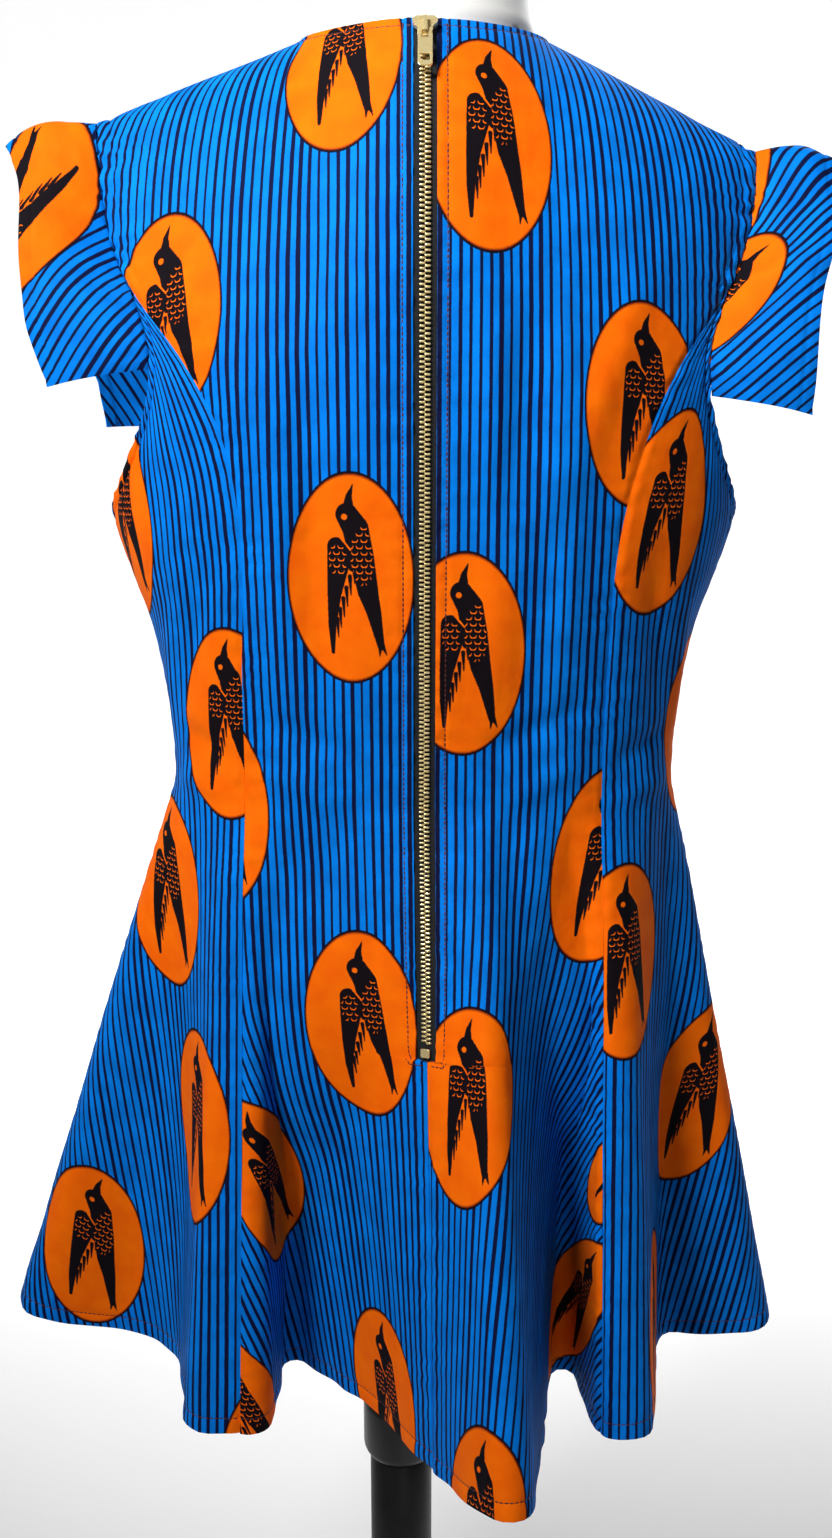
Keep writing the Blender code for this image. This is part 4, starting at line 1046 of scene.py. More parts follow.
def taper(shader, point, start, end, half_start, half_end):
    """Distance outside a straight stroke whose half-width changes evenly from start to end."""
    start, end = np.array(start), np.array(end)
    way = end - start
    offset = shader.vector("SUBTRACT", point, (*start, 0.0))
    share = shader.vector("DOT_PRODUCT", offset, (*(way / (way @ way)), 0.0), output=1).clamp()
    near = shader.vector("SCALE", (*way, 0.0), share)
    away = shader.vector("DISTANCE", offset, near, output=1)
    return away - share.math("MULTIPLY_ADD", half_end - half_start, half_start)


def stripes(place):
    """Share of dark: a stripe in the middle of each pitch, each with a chance width of its own."""
    chance = ((place.floor() * CHANCE_TURN).wave() * CHANCE_SPREAD).fraction()
    half_width = chance * STRIPE_DARK_SPREAD + (STRIPE_DARK_SHARE - STRIPE_DARK_SPREAD) / 2
    return ((place.fraction() - 0.5).abs() - half_width).ramp(STRIPE_EDGE, -STRIPE_EDGE)


def swallow(shader, right, up, uneven):
    """Share of ink of the swallow: its strokes and tail feathers, less a slit, an eye and scales."""
    bled = [(uneven - 0.5) * bleed for bleed in INK_BLEED]
    point = shader.node("ShaderNodeCombineXYZ", X=right + bled[0], Y=up + bled[1])
    reach_x, reach_y, wide, narrow = FEATHER
    feathers = [((x + reach_x, y + reach_y), (x, y), wide, narrow) for x, y in FEATHER_TIPS]
    distance = None
    for stroke in list(SWALLOW) + feathers:
        one = taper(shader, point, *stroke)
        distance = one if distance is None else distance.least(one)
    slit = taper(shader, point, *SWALLOW_SLIT)
    eye = taper(shader, point, *SWALLOW_EYE)
    scales = feather_scales(right, up, distance)
    body = distance.ramp(SWALLOW_EDGE, -SWALLOW_EDGE)
    return body * slit.ramp(*SLIT_EDGE) * eye.ramp(*EYE_EDGE) * (1 - scales)


def wax_print():
    """Printed cotton: navy stripes on azure, and orange ovals with a swallow in each.

    The stripes follow the map grain, whose first coordinate runs across them in metres. The ovals
    follow the map oval, whose coordinates run right and up from the nearest oval's middle.
    """
    shader = Shader("wax_print", AZURE, 0.72)
    grain, across, along = shader.map("grain")
    _, right, up = shader.map("oval")
    uneven = shader.noise(grain, 900.0, 2.0)
    drift = shader.noise(grain, 60.0, 2.0)
    fine_drift, broad_drift = DRIFT_OF_STRIPES
    place = across * (1000 / STRIPE_PITCH) + uneven * fine_drift + drift * broad_drift
    ground = shader.mix(drift.ramp(0.35, 0.65), AZURE, AZURE_DEEP)
    ground = shader.mix(stripes(place), ground, NAVY)
    right = right * (1000 / OVAL_MAP_SCALE)
    up = up * (1000 / OVAL_MAP_SCALE)
    reach = ((right / OVAL_HALF_WIDTH) * (right / OVAL_HALF_WIDTH)
             + (up / OVAL_HALF_HEIGHT) * (up / OVAL_HALF_HEIGHT)).sqrt()
    away = (reach - 1) * OVAL_MEAN_HALF + (uneven - 0.5) * 0.5
    inside = shader.mix(drift.ramp(0.3, 0.7), ORANGE, ORANGE_DEEP)
    inside = shader.mix(swallow(shader, right, up, uneven), inside, INK)
    rim = shader.mix(away.ramp(*RUST_RIM), inside, RUST)
    rim = shader.mix(away.ramp(*INK_RIM), rim, INK)
    shader.set(Base_Color=shader.mix(away.ramp(*OVAL_EDGE), ground, rim))
    shader.surface.inputs["Sheen Weight"].default_value = 0.01
    shader.surface.inputs["Sheen Roughness"].default_value = 0.4
    shader.surface.inputs["Sheen Tint"].default_value = (0.3, 0.6, 1.0, 1.0)
    shader.surface.inputs["Specular IOR Level"].default_value = 0.05
    warp, weft = ((way * (2 * math.pi / pitch)).wave() for way, pitch in zip((across, along), WEAVE_PITCH))
    weave = (warp * weft) * 0.5 + 0.5
    crumple = shader.noise(shader.place(), 210.0, 4.0, 0.55)
    soft = shader.noise(shader.place(), 46.0, 2.0, 0.5)
    folds = shader.noise(shader.node("ShaderNodeCombineXYZ", X=across * 46, Y=along * 9), 1.0, 2.0, 0.5)
    relief = weave * WEAVE_RELIEF + crumple * CRUMPLE_RELIEF + soft * SOFT_RELIEF + folds * FOLD_RELIEF
    shader.bump(relief, RELIEF_HEIGHT, RELIEF_STRENGTH)
    return shader.material


def feather_scales(right, up, distance):
    """Rows of small crescents on the swallow's breast and shoulder.

    Each cell of a staggered lattice holds the part of a disc that lies outside the same disc
    moved up.
    """
    wide, tall = SCALE_CELL
    row = (up / tall).floor()
    shift = (row * 0.5).fraction()
    x = ((right / wide + shift).fraction() - 0.5) * wide
    y = ((up / tall).fraction() - SCALE_MIDDLE) * tall
    disc = (x * x + y * y).sqrt()
    lifted = y - SCALE_CUT_LIFT
    upper = (x * x + lifted * lifted).sqrt()
    crescent = disc.ramp(*SCALE_DISC) * upper.ramp(*SCALE_CUT)
    patches = None
    for (middle_x, middle_y), (half_x, half_y) in SCALE_PATCHES:
        a = (right - middle_x) / half_x
        b = (up - middle_y) / half_y
        patch = (a * a + b * b).ramp(*SCALE_PATCH_EDGE)
        patches = patch if patches is None else patches.most(patch)
    return crescent * patches * distance.ramp(*SCALE_INSET)


def tape_weave():
    """Black zip tape with fine ribs across it."""
    shader = Shader("tape_weave", TAPE_BLACK, 0.90)
    _, across, along = shader.map("grain")
    ribs = (along * (2 * math.pi / TAPE_RIB_PITCH)).wave() * 0.5 + 0.5
    fine = (across * (2 * math.pi / TAPE_YARN_PITCH)).wave() * 0.5 + 0.5
    fuzz = shader.noise(shader.place(), 1500.0, 2.0)
    shader.set(Base_Color=shader.mix(fuzz.ramp(0.35, 0.75), TAPE_DEEP, TAPE_FUZZ))
    shader.bump(ribs * 0.6 + fine * 0.3 + fuzz * 0.3, 0.00022, 0.8)
    return shader.material


def brass():
    """Polished brass with faint scratches and darker, rougher patches scattered at random."""
    shader = Shader("zip_brass", BRASS, 0.30, 0.65)
    dull = shader.noise(shader.place(), 420.0, 4.0)
    fine = shader.noise(shader.place(), 3000.0, 2.0)
    shader.set(Base_Color=shader.mix(dull.ramp(0.35, 0.75), BRASS_BRIGHT, BRASS_DULL))
    shader.set(Roughness=dull * 0.20 + 0.16)
    shader.bump(fine, 0.00003, 0.4)
    return shader.material


def thread():
    """Dark red sewing thread with its twist."""
    shader = Shader("stitch_thread", THREAD_RED, 0.62)
    fuzz = shader.noise(shader.place(), 2600.0, 2.0)
    deep = tuple(THREAD_SHADE * part for part in THREAD_RED)
    shader.set(Base_Color=shader.mix(fuzz.ramp(0.3, 0.7), deep, THREAD_RED))
    shader.bump(fuzz, 0.00012, 0.7)
    return shader.material


def form_white():
    """Smooth white moulded form with a slight satin sheen."""
    shader = Shader("form_white", FORM, 0.42)
    broad = shader.noise(shader.place(), 9.0, 3.0)
    fine = shader.noise(shader.place(), 650.0, 2.0)
    shader.set(Base_Color=shader.mix(broad.ramp(0.3, 0.7), FORM_LIGHT, FORM_SHADE))
    shader.set(Roughness=broad * 0.14 + 0.34)
    shader.bump(fine * 0.5 + broad * 0.5, 0.00012, 0.35)
    return shader.material


def stand_black():
    """Black powder-coated metal with a fine orange-peel and a worn shine."""
    shader = Shader("stand_black", STAND, 0.36)
    peel = shader.noise(shader.place(), 900.0, 2.0)
    worn = shader.noise(shader.place(), 22.0, 4.0)
    shader.set(Base_Color=shader.mix(worn.ramp(0.4, 0.8), STAND_DEEP, STAND_WORN))
    shader.set(Roughness=worn * 0.22 + 0.24)
    shader.bump(peel, 0.00010, 0.5)
    return shader.material


def floor_finish():
    """Pale matt floor that glows softly behind the stand, as a lit backdrop does."""
    shader = Shader("pale_floor", FLOOR, 0.8)
    broad = shader.noise(shader.place(), 3.0, 2.0)
    shader.set(Base_Color=shader.mix(broad.ramp(0.3, 0.7), FLOOR, FLOOR_SHADE))
    behind = shader.split(shader.place())[1].ramp(*FLOOR_GLOW_REACH)
    shader.set(Emission_Color=shader.mix(behind, (0.0, 0.0, 0.0), (1.0, 1.0, 1.0)))
    shader.surface.inputs["Emission Strength"].default_value = FLOOR_GLOW
    return shader.material


FINISH = {
    "print": wax_print(),
    "tape": tape_weave(),
    "brass": brass(),
    "thread": thread(),
    "form": form_white(),
    "stand": stand_black(),
    "floor": floor_finish(),
}


def flat_area(grid):
    """Area of a grid's cells."""
    across = grid[:-1, 1:] - grid[:-1, :-1]
    up = grid[1:, :-1] - grid[:-1, :-1]
    return float(np.linalg.norm(np.cross(across, up), axis=-1).sum())


def level_ridge(grid, normals):
    """Turns the top row's normals square to the shoulder line, where front and back meet."""
    x = grid[-1, :, 0]
    slope = np.where(x < 0, SHOULDER_SLOPE_LEFT, SHOULDER_SLOPE_RIGHT) * np.sign(x)
    upright = unit(np.stack([slope, np.zeros_like(x), np.ones_like(x)], axis=1))
    shoulder = (np.abs(x) >= NECK_HALF_WIDTH)[:, None]
    normals[-1] = np.where(shoulder, upright, normals[-1])
    return normals


def build_panels():
    """The seven panels as fine cloth, each kept with its grid for the stitching."""
    surfaces = {}
    for panel, (name, _, _) in enumerate(PANELS):
        grid, fields = panel_grid(panel)
        normals = outward_normals(grid)
        if name in CENTRES:
            normals = level_ridge(grid, normals)
        height, thickness = small_folds(panel, grid, fields)
        piece = cloth_piece(name + "_cloth", grid, normals, height, thickness,
                            fields["out"], fields["down"], OVALS[name], FINISH["print"])
        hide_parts(name)
        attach(piece, CLOTH_BODY)
        flat_area(grid)
        surfaces[name] = (grid + height[..., None] * normals, normals, fields)
    return surfaces


# Sleeves: the hem is an arch round the arm's way out
SLEEVE_COLUMNS = 110
SLEEVE_ROWS = 36
SLEEVE_ARCH_Y = -0.008
SLEEVE_ARCH_BACK = 0.058
SLEEVE_ARCH_FRONT = 0.060
SLEEVE_ARCH_BACK_TURN = -92.0
SLEEVE_WAVE = 0.0035
SLEEVE_WAVE_TURNS = 2.6
SLEEVE_PUFF = 0.006
SLEEVE_GAP = 0.0009
SLEEVE_REACH_POWER = 0.8
SLEEVE_STITCH = 0.007
ARMHOLE_LOW_STEPS = 60
ARMHOLE_HIGH_STEPS = 90
ARMHOLE_PROBE = 1e-4
SLEEVE_NORMAL_ROWS = 12

# Sleeve folds: height, reach and pitch of the gathers at the armhole and of the waves at the hem
SLEEVE_GATHERS = (0.0008, 0.016, 0.0095)
SLEEVE_HEM_WAVES = (0.0012, 0.014, 0.041)

# Each sleeve: its side, the heights of its two low ends, its arch, its wave and its stripes' turn
SLEEVES = {
    "sleeve_left": dict(side=-1, low_back=1.231, low_front=1.198, base=1.226, rise=0.121,
                        reach_low=0.197, reach_top=0.220, wave_phase=0.4, front_turn=103.0,
                        grain_turn=234.0),
    "sleeve_right": dict(side=1, low_back=1.217, low_front=1.226, base=1.212, rise=0.129,
                         reach_low=0.203, reach_top=0.219, wave_phase=2.4, front_turn=87.0,
                         grain_turn=40.0),
}

# Sleeve ovals: millimetres across and down the stripes
SLEEVE_OVALS = {
    "sleeve_left": ((139, -173), (150, -20), (70, -90)),
    "sleeve_right": ((158, -53), (111, -86), (40, -200)),
}

# Sleeve creases: round a, away a, round b, away b, half-width and height in mm
SLEEVE_CREASES = {
    "sleeve_left": ((-24, 16, -34, 70, 8, 1.8), (-52, 10, -62, 66, 9, -1.6), (30, 12, 36, 66, 9, 1.6)),
    "sleeve_right": ((-16, 18, -24, 78, 7, 2.6), (-40, 10, -50, 72, 9, -2.2), (-78, 8, -86, 62, 9, 1.8),
                     (36, 12, 44, 64, 9, 1.6)),
}


def armhole(side, low_back, low_front):
    """Armhole as points and outward normals, from the sleeve's low back end over to its low front."""
    parts = []
    for front, low in ((False, low_back), (True, low_front)):
        corner = FRONT_CORNER_Z if front else BACK_CORNER_Z
        lower_z = np.linspace(low, corner, ARMHOLE_LOW_STEPS)
        share = (lower_z - UNDERARM_Z) / (corner - UNDERARM_Z)
        outward = 1 - share ** (1 / ARMHOLE_DROP_POWER)
        seam = edge_turn(front, side, lower_z)
        lower_turn = seam + (side * math.pi / 2 - seam) * outward
        tip = SHOULDER_TIP_LEFT if side < 0 else SHOULDER_TIP_RIGHT
        tip_z = float(shoulder_z(np.array([side * tip]))[0])
        rise = 1 - (1 - np.linspace(0, 1, ARMHOLE_HIGH_STEPS)[1:]) ** SHOULDER_ROW_POWER
        upper_z = corner + (tip_z - RIDGE_DROP - corner) * rise
        z = np.concatenate([lower_z, upper_z])
        turn = np.concatenate([lower_turn, edge_turn(front, side, upper_z)])
        point = bodice(turn, front, z)
        turned_by = ARMHOLE_PROBE * side * (-1 if front else 1)
        by_turn = bodice(turn + turned_by, front, z) - point
        by_z = point - bodice(turn, front, z - ARMHOLE_PROBE)
        parts.append((point, unit(np.cross(by_turn, by_z) * side)))
    (back, back_normal), (fore, fore_normal) = parts
    points = np.concatenate([back, fore[::-1]])
    normals = np.concatenate([back_normal, fore_normal[::-1]])
    length = lengths(points)
    at = np.linspace(0, length[-1], SLEEVE_COLUMNS + 1)
    return read_points(at, length, points), read_points(at, length, normals)


def arch_lengths(mean_depth, rise):
    """Turns round the sleeve's arch and the length over it at each, from its top."""
    turn = np.linspace(-math.pi, math.pi, FINE_STEPS + 1)
    steps = np.hypot(mean_depth * np.cos(turn), rise * np.sin(turn)) * (turn[1] - turn[0])
    arcs = np.cumsum(steps)
    return turn, arcs - arcs[FINE_STEPS // 2]


def sleeve_grid(sizes):
    """Cap sleeve: straight lines from the armhole to an arched hem, puffed and gathered a little.

    Returns its grid, its normals and its fields: round and away, the lengths round the armhole and
    out from it, hem, the length from the hem, and arc, the length over the arch from its top.
    """
    side, base, rise = sizes["side"], sizes["base"], sizes["rise"]
    start, start_normal = armhole(side, sizes["low_back"], sizes["low_front"])
    way_out = unit(np.cross(start_normal, np.gradient(start, axis=0)))
    way_out = way_out * np.sign(way_out[:, :1]) * side
    start = start + SLEEVE_GAP * way_out
    share = np.linspace(0, 1, SLEEVE_COLUMNS + 1)
    turn = np.radians(SLEEVE_ARCH_BACK_TURN + (sizes["front_turn"] - SLEEVE_ARCH_BACK_TURN) * share)
    depth = np.where(turn < 0, SLEEVE_ARCH_BACK, SLEEVE_ARCH_FRONT)
    lift = np.cos(turn)
    flare = np.clip(lift, 0, 1) ** SLEEVE_REACH_POWER
    reach = sizes["reach_low"] + (sizes["reach_top"] - sizes["reach_low"]) * flare
    reach = reach + SLEEVE_WAVE * np.sin(2 * math.pi * SLEEVE_WAVE_TURNS * share + sizes["wave_phase"])
    hem = np.stack([side * reach, SLEEVE_ARCH_Y + depth * np.sin(turn), base + rise * lift], axis=1)
    out = np.linspace(0, 1, SLEEVE_ROWS + 1)[:, None, None]
    grid = start[None] + (hem - start)[None] * out
    grid = grid + SLEEVE_PUFF * np.sin(math.pi * out) * start_normal[None]
    normals = np.cross(np.gradient(grid, axis=1), np.gradient(grid, axis=0)) * side
    facing = np.sign(np.sum(normals * start_normal[None], axis=2, keepdims=True))
    normals = unit(normals * np.where(facing == 0, 1, facing))
    blend = np.clip(out * SLEEVE_ROWS / SLEEVE_NORMAL_ROWS, 0, 1)
    normals = unit(start_normal[None] * (1 - blend) + normals * blend)
    middle = lengths(grid[SLEEVE_ROWS // 2])
    around = np.broadcast_to(middle - middle[-1] / 2, grid.shape[:2])
    away = lengths(grid)
    mean_depth = (SLEEVE_ARCH_BACK + SLEEVE_ARCH_FRONT) / 2
    turn, arcs = arch_lengths(mean_depth, rise)
    place = np.arctan2((grid[..., 1] - SLEEVE_ARCH_Y) / mean_depth, (grid[..., 2] - base) / rise)
    arc = np.interp(place, turn, arcs)
    return grid, normals, {"round": around, "away": away, "hem": away[-1] - away, "arc": arc}


def sleeve_print(grid, arc, grain_turn):
    """Cloth coordinates of a sleeve: across and down its stripes, whose up way is grain_turn degrees.

    The sleeve is laid flat by its distance along the arm and its length over the arch.
    """
    angle = math.radians(grain_turn)
    level = grid[..., 0]
    up = level * math.cos(angle) + arc * math.sin(angle)
    across = level * math.sin(angle) - arc * math.cos(angle)
    return across, -up


def build_sleeve(name, sizes):
    """One sleeve as fine cloth, with gathers at the armhole and a wavy turned hem."""
    side = sizes["side"]
    grid, normals, fields = sleeve_grid(sizes)
    around, away, hem = fields["round"], fields["away"], fields["hem"]
    height = crease_height(SLEEVE_CREASES[name], around, away)
    edges = ((away, SLEEVE_GATHERS, side), (hem, SLEEVE_HEM_WAVES, 2 * side))
    for distance, (tall, reach, pitch), phase in edges:
        height = height + tall * np.exp(-distance / reach) * waver(around, pitch, phase)
    height = height - stitch_dip(hem - SLEEVE_STITCH) - edge_roll(hem)
    across, down = sleeve_print(grid, fields["arc"], sizes["grain_turn"])
    thickness = np.where(hem < SLEEVE_STITCH, TURNED_CLOTH, CLOTH)
    facing_out = (slice(None, None, -1), slice(None, None, -1 if side < 0 else 1))
    grid, normals, height, thickness, across, down = (
        field[facing_out] for field in (grid, normals, height, thickness, across, down))
    piece = cloth_piece(name + "_cloth", grid, normals, height, thickness, across, down,
                        SLEEVE_OVALS[name], FINISH["print"])
    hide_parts(name)
    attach(piece, CLOTH_BODY)
    flat_area(grid)


# Zip: rows down its length, the strip of each back beside it, and gaps under the neck's edge
ZIP_ROWS = 90
ZIP_STRIP_SHARE = 0.2
ZIP_STRIP_STEPS = 80
ZIP_STRIPS = {
    RIGHT_BACK: np.linspace(0, ZIP_STRIP_SHARE, ZIP_STRIP_STEPS),
    LEFT_BACK: np.linspace(1, 1 - ZIP_STRIP_SHARE, ZIP_STRIP_STEPS),
}
SEAM_TOP_GAP = 0.0008
TAPE_TOP_GAP = 0.0012

# Tapes, each with a bead beside the teeth
TAPE_HALF_WIDTH = 0.0135
TAPE_SINK = 0.00105
TAPE_THICKNESS = 0.0004
TAPE_BEAD_HEIGHT = 0.00035
TAPE_BEAD_PLACE = 0.0012
TAPE_BEAD_WIDTH = 0.0007
TAPE_BEAD_BACK = 1.6
TAPE_REACHES = np.concatenate([np.linspace(0.0002, 0.0022, 7), np.linspace(0.0030, TAPE_HALF_WIDTH, 14)])

# Teeth: spacing down one row, half-sizes, place across and out from the seam, and clear ends
TOOTH_PITCH = 0.00245
TOOTH_HALF = (0.00162, 0.00058, 0.00085)
TOOTH_MIDDLE = 0.00133
TOOTH_LIFT = -0.0003
TOOTH_RINGS = 5
TOOTH_SIDES = 8
TOOTH_SQUARENESS = 0.42
TEETH_TOP = 0.004
TEETH_FOOT = 0.010


def strip_rows(panel, top_gap):
    """Rows of the strip of a back beside the zip, from the zip's end up to a gap under the neck."""
    share = ZIP_STRIPS[panel]
    heights = np.linspace(WAIST_Z, NECK_BACK_Z - top_gap, 2 * ZIP_ROWS)[1:]
    rows = [skirt(panel, share, down) for down in np.linspace(ZIP_END_FRACTION, 0, ZIP_ROWS + 1)]
    rows += [bodice(panel_turn(panel, share, z), False, z) for z in heights[:, None] + 0 * share]
    return rows


def strip_points(panel, top_gap, reach):
    """Points at distances from the back seam on every row of the strip beside the zip."""
    return np.array([read_points(reach, lengths(row), row) for row in strip_rows(panel, top_gap)])


def back_seam():
    """The back seam from the neck down to the zip's end: length, points, across and outward.

    Across is the way from the left panel to the right one, and outward is square to it and to the
    seam.
    """
    right = strip_points(RIGHT_BACK, SEAM_TOP_GAP, ZIP_HALF_OPENING)[::-1]
    left = strip_points(LEFT_BACK, SEAM_TOP_GAP, ZIP_HALF_OPENING)[::-1]
    middle = strip_points(LEFT_BACK, SEAM_TOP_GAP, 0.0)[::-1]
    across = unit(right - left)
    along = unit(np.gradient(middle, axis=0))
    outward = unit(np.cross(along, across))
    outward = outward * np.where(outward[:, 1:2] > 0, -1, 1)
    return lengths(middle), middle, across, outward


SEAM = back_seam()


def on_seam(at, sideways, lift):
    """Points beside the back seam: at a length from the neck, a way across and a height out."""
    length, *fields = SEAM
    middle, across, outward = (read_points(at, length, field) for field in fields)
    return middle + across * sideways[..., None] + outward * lift[..., None]


def tape_grid(side):
    """Surface of one tape: flat across the opening, then along the inside of its own back panel."""
    reach = np.maximum(TAPE_REACHES, ZIP_HALF_OPENING)
    right = strip_points(RIGHT_BACK, TAPE_TOP_GAP, reach)
    left = strip_points(LEFT_BACK, TAPE_TOP_GAP, reach)
    own, other = (right, left) if side > 0 else (left, right)
    middle = (own[:, :1] + other[:, :1]) / 2
    inner_share = np.clip(TAPE_REACHES / ZIP_HALF_OPENING, 0, 1)[None, :, None]
    return middle + (own - middle) * inner_share


def build_tape():
    """The two zip tapes: thin woven strips under the turned edges, each with a bead by the teeth."""
    for name, side in (("zip_tape_left", -1), ("zip_tape_right", 1)):
        facing_out = slice(None, None, side)
        grid = tape_grid(side)[:, facing_out]
        reach = TAPE_REACHES[facing_out][None] + 0 * grid[..., 0]
        bead = TAPE_BEAD_HEIGHT * bump(reach - TAPE_BEAD_PLACE, TAPE_BEAD_WIDTH)
        piece = cloth_piece(name + "_weave", grid, outward_normals(grid), bead - TAPE_SINK,
                            TAPE_THICKNESS + TAPE_BEAD_BACK * bead, side * reach, lengths(grid),
                            ((0, 0),), FINISH["tape"])
        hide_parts(name)
        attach(piece, CLOTH_BODY)
        flat_area(grid)


def squared(wave):
    """A sine or cosine pushed out towards a square wave."""
    return np.sign(wave) * np.abs(wave) ** TOOTH_SQUARENESS


def tooth_block():
    """Points and faces of one tooth: a squared-off ellipsoid with closed poles."""
    level = np.linspace(-math.pi / 2, math.pi / 2, TOOTH_RINGS + 2)[1:-1]
    turn = np.linspace(0, 2 * math.pi, TOOTH_SIDES, endpoint=False) + math.pi / TOOTH_SIDES
    x = squared(np.cos(level))[:, None] * squared(np.cos(turn))[None]
    y = squared(np.cos(level))[:, None] * squared(np.sin(turn))[None]
    z = squared(np.sin(level))[:, None] + 0 * x
    points = np.concatenate([np.stack([x, y, z], axis=-1).reshape(-1, 3), [[0, 0, -1], [0, 0, 1]]])
    low = TOOTH_RINGS * TOOTH_SIDES
    index = np.arange(low).reshape(TOOTH_RINGS, TOOTH_SIDES)
    index = np.concatenate([index, index[:, :1]], axis=1)
    faces = [tuple(face) for face in quads(index)]
    faces += [(low, index[0, c + 1], index[0, c]) for c in range(TOOTH_SIDES)]
    faces += [(low + 1, index[-1, c], index[-1, c + 1]) for c in range(TOOTH_SIDES)]
    return points * np.array(TOOTH_HALF), faces


def repeated(faces, corners, copies):
    """Faces of a row of copies of one block that has the given number of corners."""
    return [tuple(corner + i * corners for corner in face) for i in range(copies) for face in faces]


def build_teeth():
    """Brass teeth in two rows that mesh, from under the slider to the bottom stop."""
    block, faces = tooth_block()
    every = np.arange(TEETH_TOP, SEAM[0][-1] - TEETH_FOOT, TOOTH_PITCH / 2)
    for name, side, first in (("zip_teeth_left", -1, 0), ("zip_teeth_right", 1, 1)):
        at = every[first::2, None]
        points = on_seam(at + block[:, 1], side * TOOTH_MIDDLE + block[:, 0] + 0 * at,
                         TOOTH_LIFT + block[:, 2] + 0 * at).reshape(-1, 3)
        points[:, 0] += BODY_X
        piece = add_mesh(name, points, repeated(faces, len(block), len(at)), FINISH["brass"], sharp=60)
        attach(piece, CLOTH_BODY)


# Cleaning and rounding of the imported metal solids: a distance in metres, and angles in degrees
CORNER_MERGE = 1e-5
FLAT_ANGLE = 1.0
SHARP_ANGLE = 60
BEVEL_ANGLE = 35
BEVEL_SEGMENTS = 3

# Metal of the zip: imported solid, piece, body, rounding of its edges
METAL = (
    ("zip_slider", "slider", CLOTH_BODY, 0.0005),
    ("zip_pull", "pull", PULL_BODY, 0.0002),
    ("zip_stop", "bottom_stop", CLOTH_BODY, 0.0004),
)


def rounded_copy(node, name, body, finish, width):
    """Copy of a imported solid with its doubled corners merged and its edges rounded."""
    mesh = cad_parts[node].data.copy()
    mesh.name = name
    data = bmesh.new()
    data.from_mesh(mesh)
    bmesh.ops.remove_doubles(data, verts=data.verts, dist=CORNER_MERGE)
    bmesh.ops.dissolve_limit(data, angle_limit=math.radians(FLAT_ANGLE), verts=data.verts, edges=data.edges)
    data.to_mesh(mesh)
    data.free()
    mesh.materials.clear()
    mesh.materials.append(finish)
    mesh.shade_smooth()
    mesh.set_sharp_from_angle(angle=math.radians(SHARP_ANGLE))
    piece = bpy.data.objects.new(name, mesh)
    bpy.context.scene.collection.objects.link(piece)
    bevel = piece.modifiers.new("rounded_edges", "BEVEL")
    bevel.width = width
    bevel.segments = BEVEL_SEGMENTS
    bevel.limit_method = "ANGLE"
    bevel.angle_limit = math.radians(BEVEL_ANGLE)
    bevel.harden_normals = False
    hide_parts(node)
    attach(piece, body)


# Stitches
STITCH_LENGTH = 0.0024
STITCH_STEP = 0.0028
STITCH_HALF_WIDTH = 0.00046
STITCH_HALF_HEIGHT = 0.00024
STITCH_RINGS = 4
STITCH_SIDES = 6
STITCH_TAPER = 0.86

# Stitch line beside the zip and square below it: steps, and how far it keeps from ends and corners
ZIP_STITCH_FOOT = 0.0048
ZIP_STITCH_TOP = 0.003
ZIP_LINE_STEP = 0.004
ZIP_END_EASE = 0.001
ZIP_END_STEPS = 4
ZIP_FOOT_STEPS = 8
ZIP_CORNER_EASE = 0.0005
ZIP_MIDDLE_EASE = 0.0003
NECK_LINE_EASE = 0.001


def read_line(line, at):
    """Points and normals of a line at lengths along it."""
    points, normals = line
    length = lengths(points)
    return read_points(at, length, points), read_points(at, length, normals)


def stitches(name, lines):
    """Row of short rounded stitches along each line of surface points and normals."""
    turn = np.linspace(0, 2 * math.pi, STITCH_SIDES, endpoint=False)
    level = np.linspace(-1, 1, STITCH_RINGS)
    full = np.sqrt(1 - STITCH_TAPER * level ** 2)[:, None]
    wide = (STITCH_HALF_WIDTH * full * np.cos(turn))[..., None]
    tall = (STITCH_HALF_HEIGHT * full * np.sin(turn))[..., None]
    points = []
    for line in lines:
        starts = np.arange(STITCH_STEP / 2, lengths(line[0])[-1] - STITCH_STEP / 2, STITCH_STEP)
        middle, normal = read_line(line, starts)
        ahead = read_line(line, starts + STITCH_LENGTH / 2)[0]
        behind = read_line(line, starts - STITCH_LENGTH / 2)[0]
        along = (ahead - behind) / 2
        across = unit(np.cross(unit(along), normal))
        middle, along, across, normal = (field[:, None, None] for field in (middle, along, across, normal))
        body = middle + along * level[:, None, None] + across * wide + normal * tall
        points.append(body.reshape(-1, 3))
    points = np.concatenate(points)
    points[:, 0] += BODY_X
    corners = STITCH_RINGS * STITCH_SIDES
    faces = repeated(tube_faces(STITCH_RINGS, STITCH_SIDES), corners, len(points) // corners)
    piece = add_mesh(name, points, faces, FINISH["thread"], sharp=80)
    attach(piece, CLOTH_BODY)


def at_level(surface, field, down):
    """A panel's field at a length below the waist, one value for each column."""
    downs = surface[2]["down"][::-1]
    return np.array([np.interp(down, downs[:, c], field[::-1, c]) for c in range(field.shape[1])])


def cloth_point(surface, key, reach, down):
    """Point and normal of a panel at a distance from one side edge and a length below the waist."""
    grid, normals, fields = surface
    edge = at_level(surface, fields[key], down)
    order = np.argsort(edge)
    read = []
    for field in (grid, normals):
        level = np.stack([at_level(surface, field[..., i], down) for i in range(3)], axis=-1)
        read.append(read_points(reach, edge[order], level[order]))
    return read


